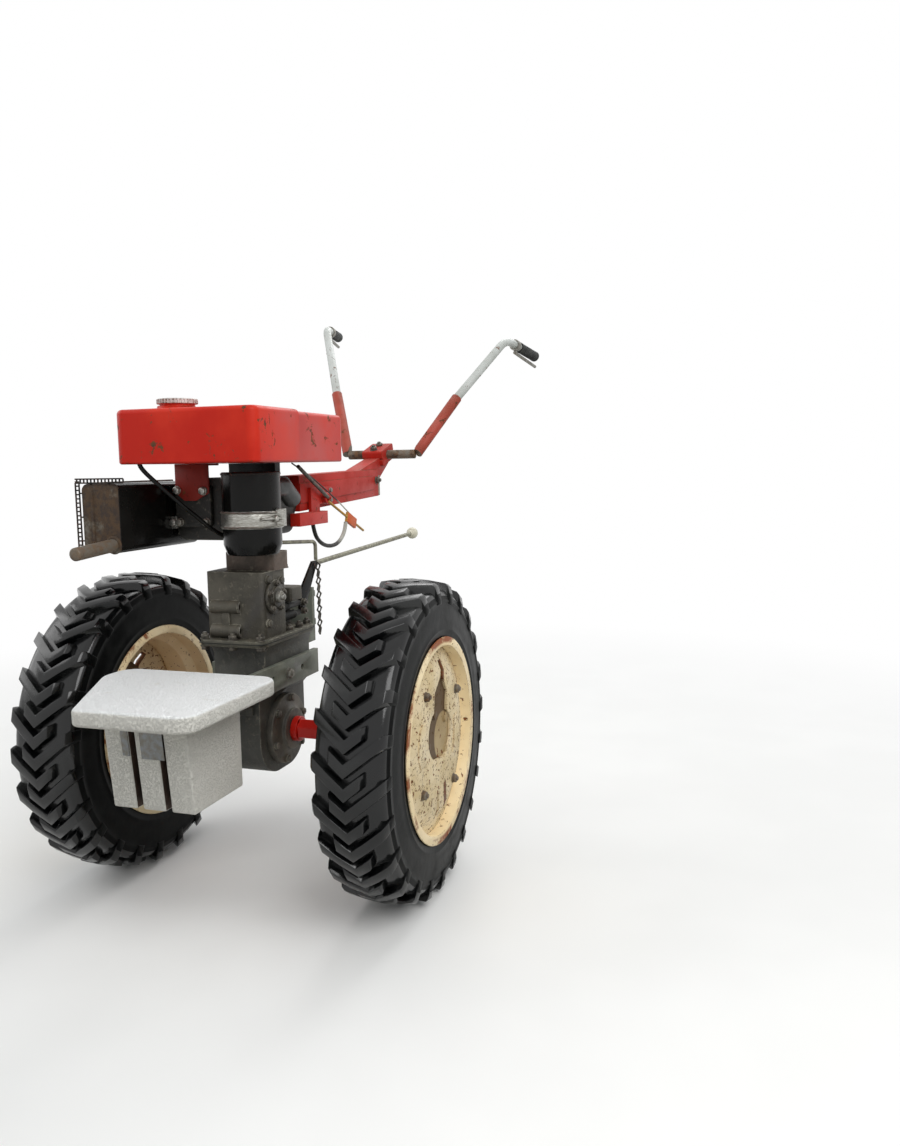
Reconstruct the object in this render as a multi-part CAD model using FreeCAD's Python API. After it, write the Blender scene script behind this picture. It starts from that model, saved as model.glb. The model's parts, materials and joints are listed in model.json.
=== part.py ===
import FreeCAD, Part
import math
import os

# A single-axle walking tractor: two lugged wheels on a hexagon half axle each, a cast
# gearbox standing on its final drive, a small engine on top of the gearbox, a fuel tank
# over the engine, a ballast weight in front and a handlebar on a pressed beam behind.
#
# All lengths are millimetres. The model is laid out from the wheel axle: X forward,
# Y to the tractor's left, Z up. The last step moves it so that the origin is the centre
# of the hitch pin bore in the lower clevis lug.

V = FreeCAD.Vector

# Fits
SEAT_GAP = 0.3           # between pieces that are bolted or pressed to each other
SHAFT_GAP = 0.1          # radial running gap of a shaft in its bore
FACE_GAP = 1.0           # between a turning collar and the fixed boss beside it
RUNNING_GAP = 5.0        # between a turning piece and the fixed piece beside it
CUT_MARGIN = 10.0        # how far a cutting shape runs past what it cuts

# Wheels
TRACK_WIDTH = 693.0      # between the wheels' centre planes
RIM_SEAT_RADIUS = 205.0
RIM_FLANGE_HEIGHT = 16.5
RIM_WELL_DEPTH = 17.0
TYRE_HEIGHT = 140.0      # from the rim seat out to the tips of the lugs
TREAD_WIDTH = 140.0
TREAD_CROWN = 9.0        # how much lower the shoulders are than the middle of the tread
TYRE_SECTION = 156.0     # widest place of the side walls
TYRE_SEGMENTS = 24       # the tyre is made of flat facets
LUG_HEIGHT = 20.0
LUG_BAR = 16.0           # width of a lug's arm at its top
LUG_SHORT_ARM = 32.0     # how far the short arm reaches past the middle of the tread
LUG_RUN = 0.82           # how far a lug runs back for each millimetre that it runs outward
LUG_DRAFT = 4.5          # how much wider a lug is at its foot, on each side
LUG_SINK = 8.0
BEAD_SLOPE = 1.8
SHOULDER_DROP = 25.0
SHOULDER_SLOPE = 4.0
LUG_END_DROP = 16.0      # how far a lug's end runs down the shoulder
LUG_PITCH = 15.0         # degrees between two lugs of the same side
LUG_FIRST = 5.1          # where the first lug's point is as the wheel stands
RIM_WIDTH = 159.0
RIM_WELL_WIDTH = 56.0
RIM_WALL = 3.0
DISC_RECESS = 8.0        # from the rim's outer edge in to the face of the disc
DISC_WALL = 6.0
DISC_STEP = 55.0         # from the rim seat in to the edge of the raised face
DISC_DISH = 18.0         # how much deeper the disc sits at the rim than in the middle
DISC_OPENING_HEIGHT = 104.0
DISC_OPENING_LENGTH = 146.0
DISC_OPENING_RISE = 12.0
DISC_WINDOW_WIDTH = 84.0 # of the tapered window over the opening
DISC_WINDOW_SHOULDER = 100.0
DISC_BOLT_INSET = 63.0   # from the rim seat in to the bolt circle
DISC_BOLT_HOLE_RADIUS = 6.5
DISC_SLOT_WIDTH = 13.0
DISC_SLOT_TOP_INNER = 136.0
DISC_SLOT_LOW_INNER = 116.0
REST_TURN_LEFT = 8.0     # how far each wheel is turned as it stands, degrees
REST_TURN_RIGHT = 40.0

# Half axles
HUB_PLATE_INSET = 73.0   # from the rim seat in to the edge of the hub plate
HUB_PLATE_WALL = 8.0
HUB_BARREL_RADIUS = 40.0
HUB_BARREL_LENGTH = 60.0
HEX_ACROSS_FLATS = 41.0
HEX_TURN = 20.0          # how the hexagon's corners stand, degrees
COLLAR_RADIUS = 28.0
COLLAR_LENGTH = 15.0
STUB_RADIUS = 21.0
STUB_LENGTH = 34.0

# Final drive and gearbox
DRIVE_WIDTH = 88.0       # of the low part that holds the axle bearings
DRIVE_UPPER_WIDTH = 124.0
DRIVE_NARROW_TOP = 84.0
DRIVE_WIDE_BOTTOM = 104.0
DRIVE_HALF_LENGTH = 105.0
DRIVE_BOTTOM = -92.0
DRIVE_CORNER = 82.0      # the low end is rounded about the axle
DRIVE_FLARE = 14.0       # how far the walls flare out under the flange
DRIVE_FLARE_HEIGHT = 30.0
DRIVE_FLARE_BOW = 0.3    # the flare's arc passes this share of its width at the height below
DRIVE_FLARE_BOW_HEIGHT = 0.64
BEARING_RADIUS = 79.0
BEARING_WALL = 14.0
BEARING_CONE_RADIUS = 62.0
BEARING_CONE_RISE = 7.0
BEARING_BOSS_RADIUS = 46.0
BEARING_BOSS_LENGTH = 15.0
FLANGE_TOP = 223.0
FLANGE_LAYER = 7.0
FLANGE_FRONT = 142.0
FLANGE_REAR = -112.0
FLANGE_WIDTH = 160.0
FLANGE_CORNER = 24.0
BOX_FRONT = 114.0
BOX_REAR = 12.0
BOX_WIDTH = 140.0
BOX_TOP = 366.0
BOX_CORNER = 12.0
BOSS_RADIUS = 15.0
BOSS_BORE_RADIUS = 7.0
BOSS_LENGTH = 68.0
BOSS_START = 14.0        # from the box's right side in to the bosses
BOSS_BORE_DEPTH = 30.0
BOSS_STAND = 12.0        # how far a boss's centre stands out from the front face
UPPER_BOSS_HEIGHT = 291.0
LOWER_BOSS_HEIGHT = 239.0
REAR_CASE_REAR = -100.0
REAR_CASE_LEFT = 24.0
REAR_CASE_RIGHT = -44.0
REAR_CASE_TOP = 283.0
SELECTOR_REAR = -88.0
SELECTOR_LENGTH = 56.0
SELECTOR_LEFT = 58.0
SELECTOR_HEIGHT = 32.0
SELECTOR_CORNER = 6.0
SIDE_COVER_X = 72.0
SIDE_COVER_Z = 310.0
SIDE_COVER_RADIUS = 37.0
SIDE_COVER_WALL = 6.0
SIDE_COVER_DOME_RADIUS = 22.0
NECK_FRONT = 82.0
NECK_REAR = 0.0
NECK_LEFT = 74.0
NECK_RIGHT = -42.0
NECK_CORNER = 14.0
NECK_HEAD_FRONT = 30.0

# Side rails
RAIL_HEIGHT = 56.0
RAIL_BOTTOM = 107.0
RAIL_WALL = 12.0
RAIL_FRONT_LEFT = 196.0
RAIL_FRONT_RIGHT = 86.0
RAIL_REAR = -114.0
RAIL_HOLE_RADIUS = 7.0
RAIL_HOLE_SPACING = 68.0
RAIL_FIRST_HOLE = 82.0   # from the rear end
RAIL_PAD_INSET = 12.0
RAIL_PAD_WALL = 6.0

# Hitch clevis
HITCH_PIN_X = -225.0
HITCH_PIN_RADIUS = 9.0
CLEVIS_WIDTH = 84.0
CLEVIS_LUG_WALL = 14.0
CLEVIS_LUG_END = 20.0
CLEVIS_GAP = 56.0
CLEVIS_LOWER_LUG_BOTTOM = 198.0
HITCH_PLATE_X = -180.0   # rear face of the upright plate
HITCH_PLATE_WALL = 10.0
HITCH_PLATE_BOTTOM = 168.0
HITCH_PLATE_TOP = 298.0

# Ballast weight
WEIGHT_FRONT = 450.0
WEIGHT_REAR = 258.0
WEIGHT_WIDTH = 178.0
WEIGHT_BOTTOM = -46.0
WEIGHT_RAKE = 22.0       # how far the front face runs back on its way down
CAP_HEIGHT = 180.0
CAP_WALL = 32.0
CAP_FRONT = 570.0
CAP_REAR = 250.0
CAP_WIDTH = 356.0
CAP_SLANT_LENGTH = 240.0   # the right front corner is cut off on a slant
CAP_SLANT_WIDTH = 122.0
CAP_SLANT_CORNER = 60.0
CAP_CORNER = 40.0
FINGER_RIGHT = 52.0      # width of the right finger
SLOT_SPACING = 62.0
SLOT_DEPTH = 60.0
SLOT_WIDTH = 13.0
CARRIER_DROP = 10.0      # from the cap's underside down to the carrier's arms
CARRIER_PLATE_DROP = 20.0  # how far its end plates reach below the arms
CARRIER_ARM_WALL = 11.0
CARRIER_ARM_HEIGHT = 64.0

# Engine
ENGINE_FRONT = 92.0
ENGINE_REAR = -128.0
ENGINE_LEFT = 20.0
ENGINE_RIGHT = -146.0
ENGINE_BOTTOM = 432.0
ENGINE_TOP = 566.0
ENGINE_CORNER = 22.0
COVER_BOLT_FIRST_Y = 16.0  # from the engine's right side
COVER_BOLT_FIRST_Z = 40.0  # from the engine's underside
COVER_BOLT_SPACING_Y = 66.0
COVER_BOLT_SPACING_Z = 68.0
COVER_WALL = 14.0
COVER_MARGIN = 11.0      # of the cover round its bolts
COVER_CORNER = 10.0
COWL_RADIUS = 70.0
COWL_LENGTH = 46.0
COWL_RISE = 4.0          # of its middle over the engine's
COWL_TRIM = 30.0         # it reaches this far below the engine

# Air cleaner
CLEANER_X = 106.0
CLEANER_Y = 46.0
CLEANER_RADIUS = 61.0
CLEANER_BOTTOM = 405.0
CLEANER_BAND_BOTTOM = 461.0
CLEANER_BAND_TOP = 497.0
CLEANER_TOP = 578.0
CLEANER_BAND_WALL = 3.0
CLEANER_JOINT_DROP = 8.0   # the joint of can and bowl lies this far under the band's top
CLEANER_TAPER = 8.0        # of the bowl's foot
CLEANER_TAPER_HEIGHT = 22.0
LATCH_WIDTH = 20.0
LATCH_STAND = 11.0         # how far the latch stands out from the band
LATCH_RISE = 4.0
ELBOW_RADIUS = 21.0
ELBOW_BEND = 40.0
ELBOW_RUN = 55.0         # from the can back to the bend
ELBOW_REACH = 120.0      # from the can back to the end
ELBOW_FALL = 30.0

# Muffler
MUFFLER_FRONT = 285.0
MUFFLER_REAR = 0.0
MUFFLER_LEFT = -152.0
MUFFLER_RIGHT = -240.0
MUFFLER_BOTTOM = 420.0
MUFFLER_TOP = 560.0
MUFFLER_CORNER = 14.0
TAILPIPE_RADIUS = 13.0
TAILPIPE_LENGTH = 118.0
TAILPIPE_DROP = 8.0
TAILPIPE_RISE = 4.0      # over the muffler's underside
EXHAUST_STUB_RADIUS = 24.0
EXHAUST_STUB_SHIFT = 10.0  # behind the middle of the two it joins

# Fuel tank
TANK_FRONT = 278.0
TANK_STEP = 66.0
TANK_REAR = -195.0
TANK_WIDTH = 300.0
TANK_REAR_WIDTH = 238.0
TANK_BOTTOM = 597.0
TANK_TOP = 705.0
TANK_CORNER = 20.0
TANK_EDGE = 10.0
TANK_BRACKET_WALL = 4.0
TANK_BRACKET_FOOT = 40.0
TANK_STRIP_X = 30.0      # the rear strip's middle, from the engine's rear
TANK_STRIP_WIDTH = 24.0
TANK_STRIP_RIGHT = 25.0  # from the engine's sides in to the strip's ends
TANK_STRIP_LEFT = 20.0
FILLER_X = 203.0
FILLER_Y = -58.0
FILLER_RADIUS = 36.0
FILLER_HEIGHT = 8.0
FUEL_CAP_RADIUS = 41.0
FUEL_CAP_HEIGHT = 12.0

# Handle beam and its clamp
BEAM_REAR = -672.0
BEAM_WIDTH = 52.0
BEAM_WALL = 4.0
BEAM_RISE = 10.0         # how far the beam's top rises on its way back
BEAM_RIDGE = 3.0
BEAM_HEIGHT = 76.0
BEAM_TOP = 576.0
BEAM_Y = -12.0           # the beam sits a little to the right of the middle
CLAMP_X = -740.0
CLAMP_Z = 618.0
CLAMP_LENGTH = 92.0
CLAMP_PITCH = 17.0       # tipped forward, degrees
CLAMP_SPLIT = 2.0        # the joint of saddle and cap lies this far under the tube's middle
CLAMP_CORNER = 6.0
CLAMP_WIDTH = 62.0
CLAMP_HEIGHT = 44.0

# Handlebar
CROSS_TUBE_RADIUS = 13.0
CROSS_TUBE_HALF = 104.0
HANDLE_LOWER_RADIUS = 15.5
HANDLE_UPPER_RADIUS = 12.5
HANDLE_JOINT_REACH = 218.0   # from the cross tube to the joint of lower and upper tube
HANDLE_JOINT_ANGLE = 54.8
HANDLE_JOINT_Y = 189.0
HANDLE_BEND_REACH = 490.0    # from the cross tube to the bend at the grip
HANDLE_BEND_ANGLE = 51.6
HANDLE_BEND_Y = 292.0
HANDLE_BEND_RADIUS = 70.0
HANDLE_TWIST = 5.3           # the right handle stands this much steeper, the left one less
GRIP_RUN = 86.0              # from the bend to the grip
GRIP_SPLAY = 14.0
GRIP_DROP_ANGLE = 5.0
GRIP_RADIUS = 17.0
GRIP_LENGTH = 115.0
LEVER_WALL = 5.0
LEVER_CLIP_START = 30.0      # from the grip forward to the clip
LEVER_CLIP_LENGTH = 16.0
LEVER_DROP = 12.0            # of the blade under the tube
LEVER_FALL = 8.0             # from the clip back to the blade's end

# Gear levers
GEAR_ROD_RADIUS = 6.0
GEAR_KNOB_RADIUS = 17.5
GEAR_LEVER_Y = 37.0
GEAR_KNEE_X = -205.0
GEAR_KNEE_Z = 354.0
GEAR_KNOB_X = -860.0
GEAR_KNOB_Z = 378.0
GEAR_KNOB_SHIFT = 8.0
GEAR_STRAP_WALL = 6.0
GEAR_STRAP_WIDTH = 22.0
BOOT_REAR = -110.0
BOOT_RADIUS = 10.5
BOOT_Z = 270.0
BOOT_SPACING = 22.0
STAY_RADIUS = 4.5        # of the bent rod from the neck back to the shift lever's knee
STAY_DROP = 14.0         # from the crankcase down to the stay
STAY_FALL = 12.0         # from the neck back to its corner
STAY_BEND = 12.0

# Hand control bracket
CONTROL_X = -215.0
CONTROL_LENGTH = 118.0
CONTROL_HEIGHT = 42.0
CONTROL_WALL = 8.0
CONTROL_Z = 494.0
PULLEY_X = 71.0          # behind the bracket's front end
PULLEY_RADIUS = 14.0
PULLEY_RISE = 14.0
TRAY_FRONT = -112.0      # of the open tray in front of the bracket
TRAY_REAR = -262.0
TRAY_INNER = 21.0
TRAY_OUTER = 46.0
TRAY_BOTTOM = 448.0
TRAY_HEIGHT = 30.0
TRAY_WALL = 3.5
THROTTLE_RADIUS = 4.5
THROTTLE_FRONT_X = -126.0
THROTTLE_FRONT_Z = 588.0
CHOKE_RADIUS = 3.2
CHOKE_REACH = 214.0      # how far the choke wire runs behind the pulley
CHOKE_FALL = 88.0
CHOKE_TAG = (58.0, 7.0, 26.0)  # length, wall and width
CHOKE_TAG_PLACE = 0.63   # share of the way along the wire

# Control strap, from under the tray round and up to the tag
STRAP_RADIUS = 5.0
CORD_BEND_SHARE = 0.45   # of the shorter run that an arc of a cord takes up
STRAP_ROUTE = (
    (-200.0, 35.2, 447.4), (-208.0, 35.2, 423.0), (-231.0, 35.2, 404.0), (-262.0, 35.2, 391.5),
    (-300.0, 35.2, 386.5), (-338.0, 35.2, 390.0), (-368.0, 35.2, 405.0), (-386.0, 35.2, 424.0),
    (-391.0, 35.2, 441.6),
)

# Throttle cable, from under the tank down to the tag
CABLE_RADIUS = 1.7
CABLE_ROUTE = (
    (-112.0, 30.0, 595.2), (-136.0, 30.0, 587.0), (-178.0, 30.0, 573.5), (-224.0, 30.0, 556.0),
    (-268.0, 30.0, 537.5), (-311.0, 31.5, 517.0), (-353.0, 34.0, 496.0), (-393.0, 35.2, 474.5),
    (-423.0, 35.2, 459.7),
)

# Hitch pin chain
LINK_LENGTH = 21.1       # between the middles of the bar at both ends
LINK_WIDTH = 11.0
LINK_WIRE = 3.6
LINK_CORNER = 0.3        # how far the side corners of a link lie off its middle
CHAIN_PLAY = 0.3
CHAIN_LINKS = 10
CHAIN_DROP = 8.0

WHEEL_HALF_TRACK = TRACK_WIDTH / 2.0
RIM_FLANGE_RADIUS = RIM_SEAT_RADIUS + RIM_FLANGE_HEIGHT
RIM_WELL_RADIUS = RIM_SEAT_RADIUS - RIM_WELL_DEPTH
TYRE_RADIUS = RIM_SEAT_RADIUS + TYRE_HEIGHT
DISC_FACE_RADIUS = RIM_SEAT_RADIUS - DISC_STEP
DISC_SLOT_OUTER = DISC_FACE_RADIUS + DISC_DISH
DISC_BOLT_CIRCLE = RIM_SEAT_RADIUS - DISC_BOLT_INSET
HUB_PLATE_RADIUS = RIM_SEAT_RADIUS - HUB_PLATE_INSET
BEAM_FRONT = ENGINE_REAR - COWL_LENGTH - 2.0 * SEAT_GAP
CLEVIS_PIN_Z = CLEVIS_LOWER_LUG_BOTTOM + CLEVIS_LUG_WALL / 2.0
ORIGIN = V(HITCH_PIN_X, 0.0, CLEVIS_PIN_Z)


def publish(name, shape):
    """Move one finished piece to the part's own frame and write its file."""
    moved = shape.copy()
    moved.translate(V(0, 0, 0) - ORIGIN)
    solids = moved.Solids
    if not solids or not moved.isValid():
        raise ValueError(name + " is not a valid solid")
    if len(solids) == 1:
        moved = solids[0]
    moved.exportStep("parts/" + name + ".step")
    print(name, len(solids), round(moved.Volume / 1000.0, 1), "cm3")


def block(x_span, y_span, z_span):
    """A box given by its lowest and highest value along each axis."""
    x0, x1 = sorted(x_span)
    y0, y1 = sorted(y_span)
    z0, z1 = sorted(z_span)
    return Part.makeBox(x1 - x0, y1 - y0, z1 - z0, V(x0, y0, z0))


def along(shape_edges, direction):
    """The straight edges that run along a direction."""
    chosen = []
    for edge in shape_edges:
        if not isinstance(edge.Curve, Part.Line):
            continue
        if edge.tangentAt(edge.FirstParameter).cross(direction).Length < 1e-6:
            chosen.append(edge)
    return chosen


def round_block(x_span, y_span, z_span, radius, direction):
    """A box whose edges along one direction are rounded."""
    body = block(x_span, y_span, z_span)
    return body.makeFillet(radius, along(body.Edges, direction))


def rod(start, end, radius):
    """A round bar between two points."""
    run = end - start
    return Part.makeCylinder(radius, run.Length, start, run)


def ring(start, end, radius, bore):
    """A round bar with a bore right through it."""
    return rod(start, end, radius).cut(rod(start, end, bore))


def prism(outline, lift):
    """A closed outline of points, lifted along a vector."""
    wire = Part.makePolygon(outline + [outline[0]])
    return Part.Face(wire).extrude(lift)


def hexagon_bar(start, end, across_flats):
    """A hexagon bar between two points on a line along Y."""
    corner = across_flats / math.sqrt(3.0)
    outline = []
    for step in range(6):
        angle = math.radians(60.0 * step + HEX_TURN)
        outline.append(start + V(corner * math.cos(angle), 0, corner * math.sin(angle)))
    return prism(outline, end - start)


def bent_path(points, radii):
    """A wire of straight runs joined by tangent arcs, one radius for each inner point."""
    edges = []
    here = points[0]
    for index in range(1, len(points) - 1):
        corner = points[index]
        back = (points[index - 1] - corner).normalize()
        ahead = (points[index + 1] - corner).normalize()
        half_turn = (math.pi - back.getAngle(ahead)) / 2.0
        setback = radii[index - 1] * math.tan(half_turn)
        start = corner + back * setback
        end = corner + ahead * setback
        inward = (back + ahead).normalize()
        centre = corner + inward * (radii[index - 1] / math.cos(half_turn))
        middle = centre - inward * radii[index - 1]
        if (start - here).Length > 1e-6:
            edges.append(Part.LineSegment(here, start).toShape())
        edges.append(Part.Arc(start, middle, end).toShape())
        here = end
    edges.append(Part.LineSegment(here, points[-1]).toShape())
    return Part.Wire(edges)


def bent_bar(points, radii, radius):
    """A round bar or hose that follows straight runs and tangent arcs."""
    path = bent_path(points, radii)
    direction = (points[1] - points[0]).normalize()
    circle = Part.Wire(Part.makeCircle(radius, points[0], direction))
    return path.makePipeShell([circle], True, False)


def turned(outline, centre_y, side):
    """Turn a closed outline of (radius, offset) points about the wheel axle.

    The offset runs outward from the plane at centre_y, on the side that side gives.
    """
    points = []
    for radius, offset in outline:
        points.append(V(radius, side * (centre_y + offset), 0))
    wire = Part.makePolygon(points + [points[0]])
    return Part.Face(wire).revolve(V(0, 0, 0), V(0, 1, 0), 360.0)


def on_tyre(side, radius, offset, angle):
    """A point of the tyre; the offset runs outward from the wheel's middle plane."""
    turn = math.radians(angle)
    y = side * (WHEEL_HALF_TRACK + offset)
    return V(radius * math.cos(turn), y, radius * math.sin(turn))


def facet(points):
    """A flat face through points in order."""
    return Part.Face(Part.makePolygon(points + [points[0]]))


def solid_from(faces):
    """The solid inside a closed set of faces."""
    body = Part.makeSolid(Part.makeShell(faces))
    if body.Volume < 0:
        body.reverse()
    return body


def tyre_section():
    """The tyre's section without lugs as (radius, offset), from bead to bead."""
    beyond = 1.0 / math.cos(math.pi / TYRE_SEGMENTS)
    base = TYRE_RADIUS - LUG_HEIGHT
    bead_half = RIM_WIDTH / 2.0 - RIM_WALL - SEAT_GAP
    half = [
        ((RIM_SEAT_RADIUS + SEAT_GAP) * beyond, bead_half - BEAD_SLOPE),
        (RIM_FLANGE_RADIUS + RIM_FLANGE_HEIGHT, TYRE_SECTION / 2.0),
        (base - SHOULDER_DROP, TYRE_SECTION / 2.0 - SHOULDER_SLOPE),
        (base - TREAD_CROWN / 2.0, TREAD_WIDTH / 2.0 - SHOULDER_SLOPE),
    ]
    return half + [(radius, -offset) for radius, offset in reversed(half)]


def tyre_carcass(side):
    """The tyre without its lugs."""
    section = tyre_section()
    step = 360.0 / TYRE_SEGMENTS
    faces = []
    for index in range(TYRE_SEGMENTS):
        here = [on_tyre(side, r, y, step * index) for r, y in section]
        there = [on_tyre(side, r, y, step * (index + 1)) for r, y in section]
        for k in range(len(section)):
            after = (k + 1) % len(section)
            faces.append(facet([here[k], here[after], there[after], there[k]]))
    return solid_from(faces)


def lug(side, toward, point_angle):
    """One lug: a bar bent like an arrow, with its long arm toward one shoulder."""
    base = TYRE_RADIUS - LUG_HEIGHT
    degree = math.degrees(1.0 / TYRE_RADIUS)
    wide = LUG_BAR / 2.0 * math.hypot(1.0, LUG_RUN) * degree
    foot_wide = wide + LUG_DRAFT * degree
    foot_out = TYRE_SECTION / 2.0 - SHOULDER_SLOPE
    # offset and radius of the top, offset, radius and half width of the foot
    stations = (
        (TREAD_WIDTH / 2.0, TYRE_RADIUS - TREAD_CROWN, foot_out, base - LUG_END_DROP, wide),
        (0.0, TYRE_RADIUS, 0.0, base - LUG_SINK, foot_wide),
        (-LUG_SHORT_ARM, TYRE_RADIUS - LUG_DRAFT, -LUG_SHORT_ARM - LUG_DRAFT,
         base - LUG_SINK - LUG_DRAFT, foot_wide),
    )
    rings = []
    for top_offset, top, foot_offset, foot, foot_half in stations:
        angle = point_angle + LUG_RUN * degree * abs(top_offset)
        foot_angle = point_angle + LUG_RUN * degree * abs(foot_offset)
        rings.append([
            on_tyre(side, top, toward * top_offset, angle - wide),
            on_tyre(side, top, toward * top_offset, angle + wide),
            on_tyre(side, foot, toward * foot_offset, foot_angle + foot_half),
            on_tyre(side, foot, toward * foot_offset, foot_angle - foot_half),
        ])
    faces = []
    for ring in (rings[0], rings[-1]):
        faces.append(facet([ring[0], ring[1], ring[2]]))
        faces.append(facet([ring[0], ring[2], ring[3]]))
    for here, there in zip(rings, rings[1:]):
        for k in range(4):
            after = (k + 1) % 4
            faces.append(facet([here[k], here[after], there[after]]))
            faces.append(facet([here[k], there[after], there[k]]))
    return solid_from(faces)


def tyre(side):
    """The tyre with its two staggered rows of lugs, out to their tips."""
    lugs = []
    for index in range(int(360.0 / LUG_PITCH)):
        start = LUG_FIRST + LUG_PITCH * index
        lugs.append(lug(side, 1, start))
        lugs.append(lug(side, -1, start + LUG_PITCH / 2.0))
    return tyre_carcass(side).multiFuse(lugs).removeSplitter()


def rim_offsets():
    """Where the rim's seat ends and its well starts, outward from the wheel's middle."""
    well = RIM_WELL_WIDTH / 2.0
    slope = well + (RIM_SEAT_RADIUS - RIM_WELL_RADIUS)
    return well, slope


def rim(side):
    """A drop-centre rim: two flanges, two bead seats and the well between them."""
    well, slope = rim_offsets()
    edge = RIM_WIDTH / 2.0
    outside = [
        (RIM_FLANGE_RADIUS, edge),
        (RIM_FLANGE_RADIUS, edge - RIM_WALL),
        (RIM_SEAT_RADIUS, edge - RIM_WALL),
        (RIM_SEAT_RADIUS, slope),
        (RIM_WELL_RADIUS, well),
    ]
    inside = [
        (RIM_WELL_RADIUS - RIM_WALL, well),
        (RIM_SEAT_RADIUS - RIM_WALL, slope),
        (RIM_SEAT_RADIUS - RIM_WALL, edge),
    ]
    mirrored_out = [(r, -y) for r, y in reversed(outside)]
    mirrored_in = [(r, -y) for r, y in reversed(inside)]
    return turned(outside + mirrored_out + mirrored_in + inside, WHEEL_HALF_TRACK, side)


def disc_face():
    """Offset of the disc's outer face from the wheel's middle."""
    return RIM_WIDTH / 2.0 - DISC_RECESS


def disc_bolts():
    """The four bolt places of the disc as (x, z), before the wheel's own turn."""
    half = DISC_BOLT_CIRCLE / math.sqrt(2.0)
    return [(half, half), (-half, half), (half, -half), (-half, -half)]


def rest_turn(shape, side):
    """Turn a wheel piece about the axle to the way that the wheel stands."""
    angle = REST_TURN_LEFT if side > 0 else REST_TURN_RIGHT
    return shape.rotated(V(0, 0, 0), V(0, 1, 0), -angle)


def wheel_disc(side):
    """The dished disc inside the rim, with its opening, slots and bolt holes."""
    outer = disc_face()
    inner = outer - DISC_WALL
    edge = RIM_SEAT_RADIUS - RIM_WALL - SEAT_GAP
    rim_face = outer - DISC_DISH
    lip_end = rim_offsets()[1] + SEAT_GAP
    plate = turned(
        [
            (0.0, outer),
            (DISC_FACE_RADIUS, outer),
            (edge - DISC_WALL, rim_face),
            (edge, rim_face),
            (edge, lip_end),
            (edge - DISC_WALL, lip_end),
            (edge - 2.0 * DISC_WALL, rim_face - DISC_WALL),
            (DISC_FACE_RADIUS - DISC_WALL, inner),
            (0.0, inner),
        ],
        WHEEL_HALF_TRACK,
        side,
    )
    near = side * (WHEEL_HALF_TRACK + inner - DISC_DISH - DISC_WALL)
    far = side * (WHEEL_HALF_TRACK + outer + DISC_WALL)
    end_radius = DISC_OPENING_HEIGHT / 2.0
    half_flat = (DISC_OPENING_LENGTH - DISC_OPENING_HEIGHT) / 2.0
    middle = DISC_OPENING_RISE
    opening = block((-half_flat, half_flat), (near, far), (middle - end_radius, middle + end_radius))
    for x in (-half_flat, half_flat):
        opening = opening.fuse(rod(V(x, near, middle), V(x, far, middle), end_radius))
    window_half = DISC_WINDOW_WIDTH / 2.0
    slot_half = DISC_SLOT_WIDTH / 2.0
    window = []
    for x, z in ((-window_half, middle), (window_half, middle), (window_half, DISC_WINDOW_SHOULDER),
                 (slot_half, DISC_SLOT_TOP_INNER), (-slot_half, DISC_SLOT_TOP_INNER),
                 (-window_half, DISC_WINDOW_SHOULDER)):
        window.append(V(x, near, z))
    plate = plate.cut(opening).cut(prism(window, V(0, far - near, 0)))
    for x, z in disc_bolts():
        plate = plate.cut(rod(V(x, near, z), V(x, far, z), DISC_BOLT_HOLE_RADIUS))
    for start, stop in ((DISC_SLOT_TOP_INNER - SEAT_GAP, DISC_SLOT_OUTER),
                        (-DISC_SLOT_LOW_INNER, -DISC_SLOT_OUTER)):
        plate = plate.cut(block((-slot_half, slot_half), (near, far), (start, stop)))
    return rest_turn(plate, side)


def collar_start():
    """Distance of the red collar from the tractor's middle plane."""
    return DRIVE_WIDTH / 2.0 + BEARING_WALL + BEARING_BOSS_LENGTH + FACE_GAP


def half_axle(side):
    """The hub plate, barrel, hexagon bar and stub that turn with a wheel."""
    plate_out = WHEEL_HALF_TRACK + disc_face() - DISC_WALL - SEAT_GAP
    plate_in = plate_out - HUB_PLATE_WALL
    barrel_in = plate_in - HUB_BARREL_LENGTH
    start = collar_start()
    axle = rod(V(0, side * plate_in, 0), V(0, side * plate_out, 0), HUB_PLATE_RADIUS)
    axle = axle.fuse(rod(V(0, side * barrel_in, 0), V(0, side * plate_in, 0), HUB_BARREL_RADIUS))
    bar_start = V(0, side * (start + COLLAR_LENGTH), 0)
    axle = axle.fuse(hexagon_bar(bar_start, V(0, side * plate_in, 0), HEX_ACROSS_FLATS))
    axle = axle.fuse(rod(V(0, side * start, 0), bar_start, COLLAR_RADIUS))
    axle = axle.fuse(rod(V(0, side * (start - STUB_LENGTH), 0), V(0, side * start, 0), STUB_RADIUS))
    return axle.removeSplitter()


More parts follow.
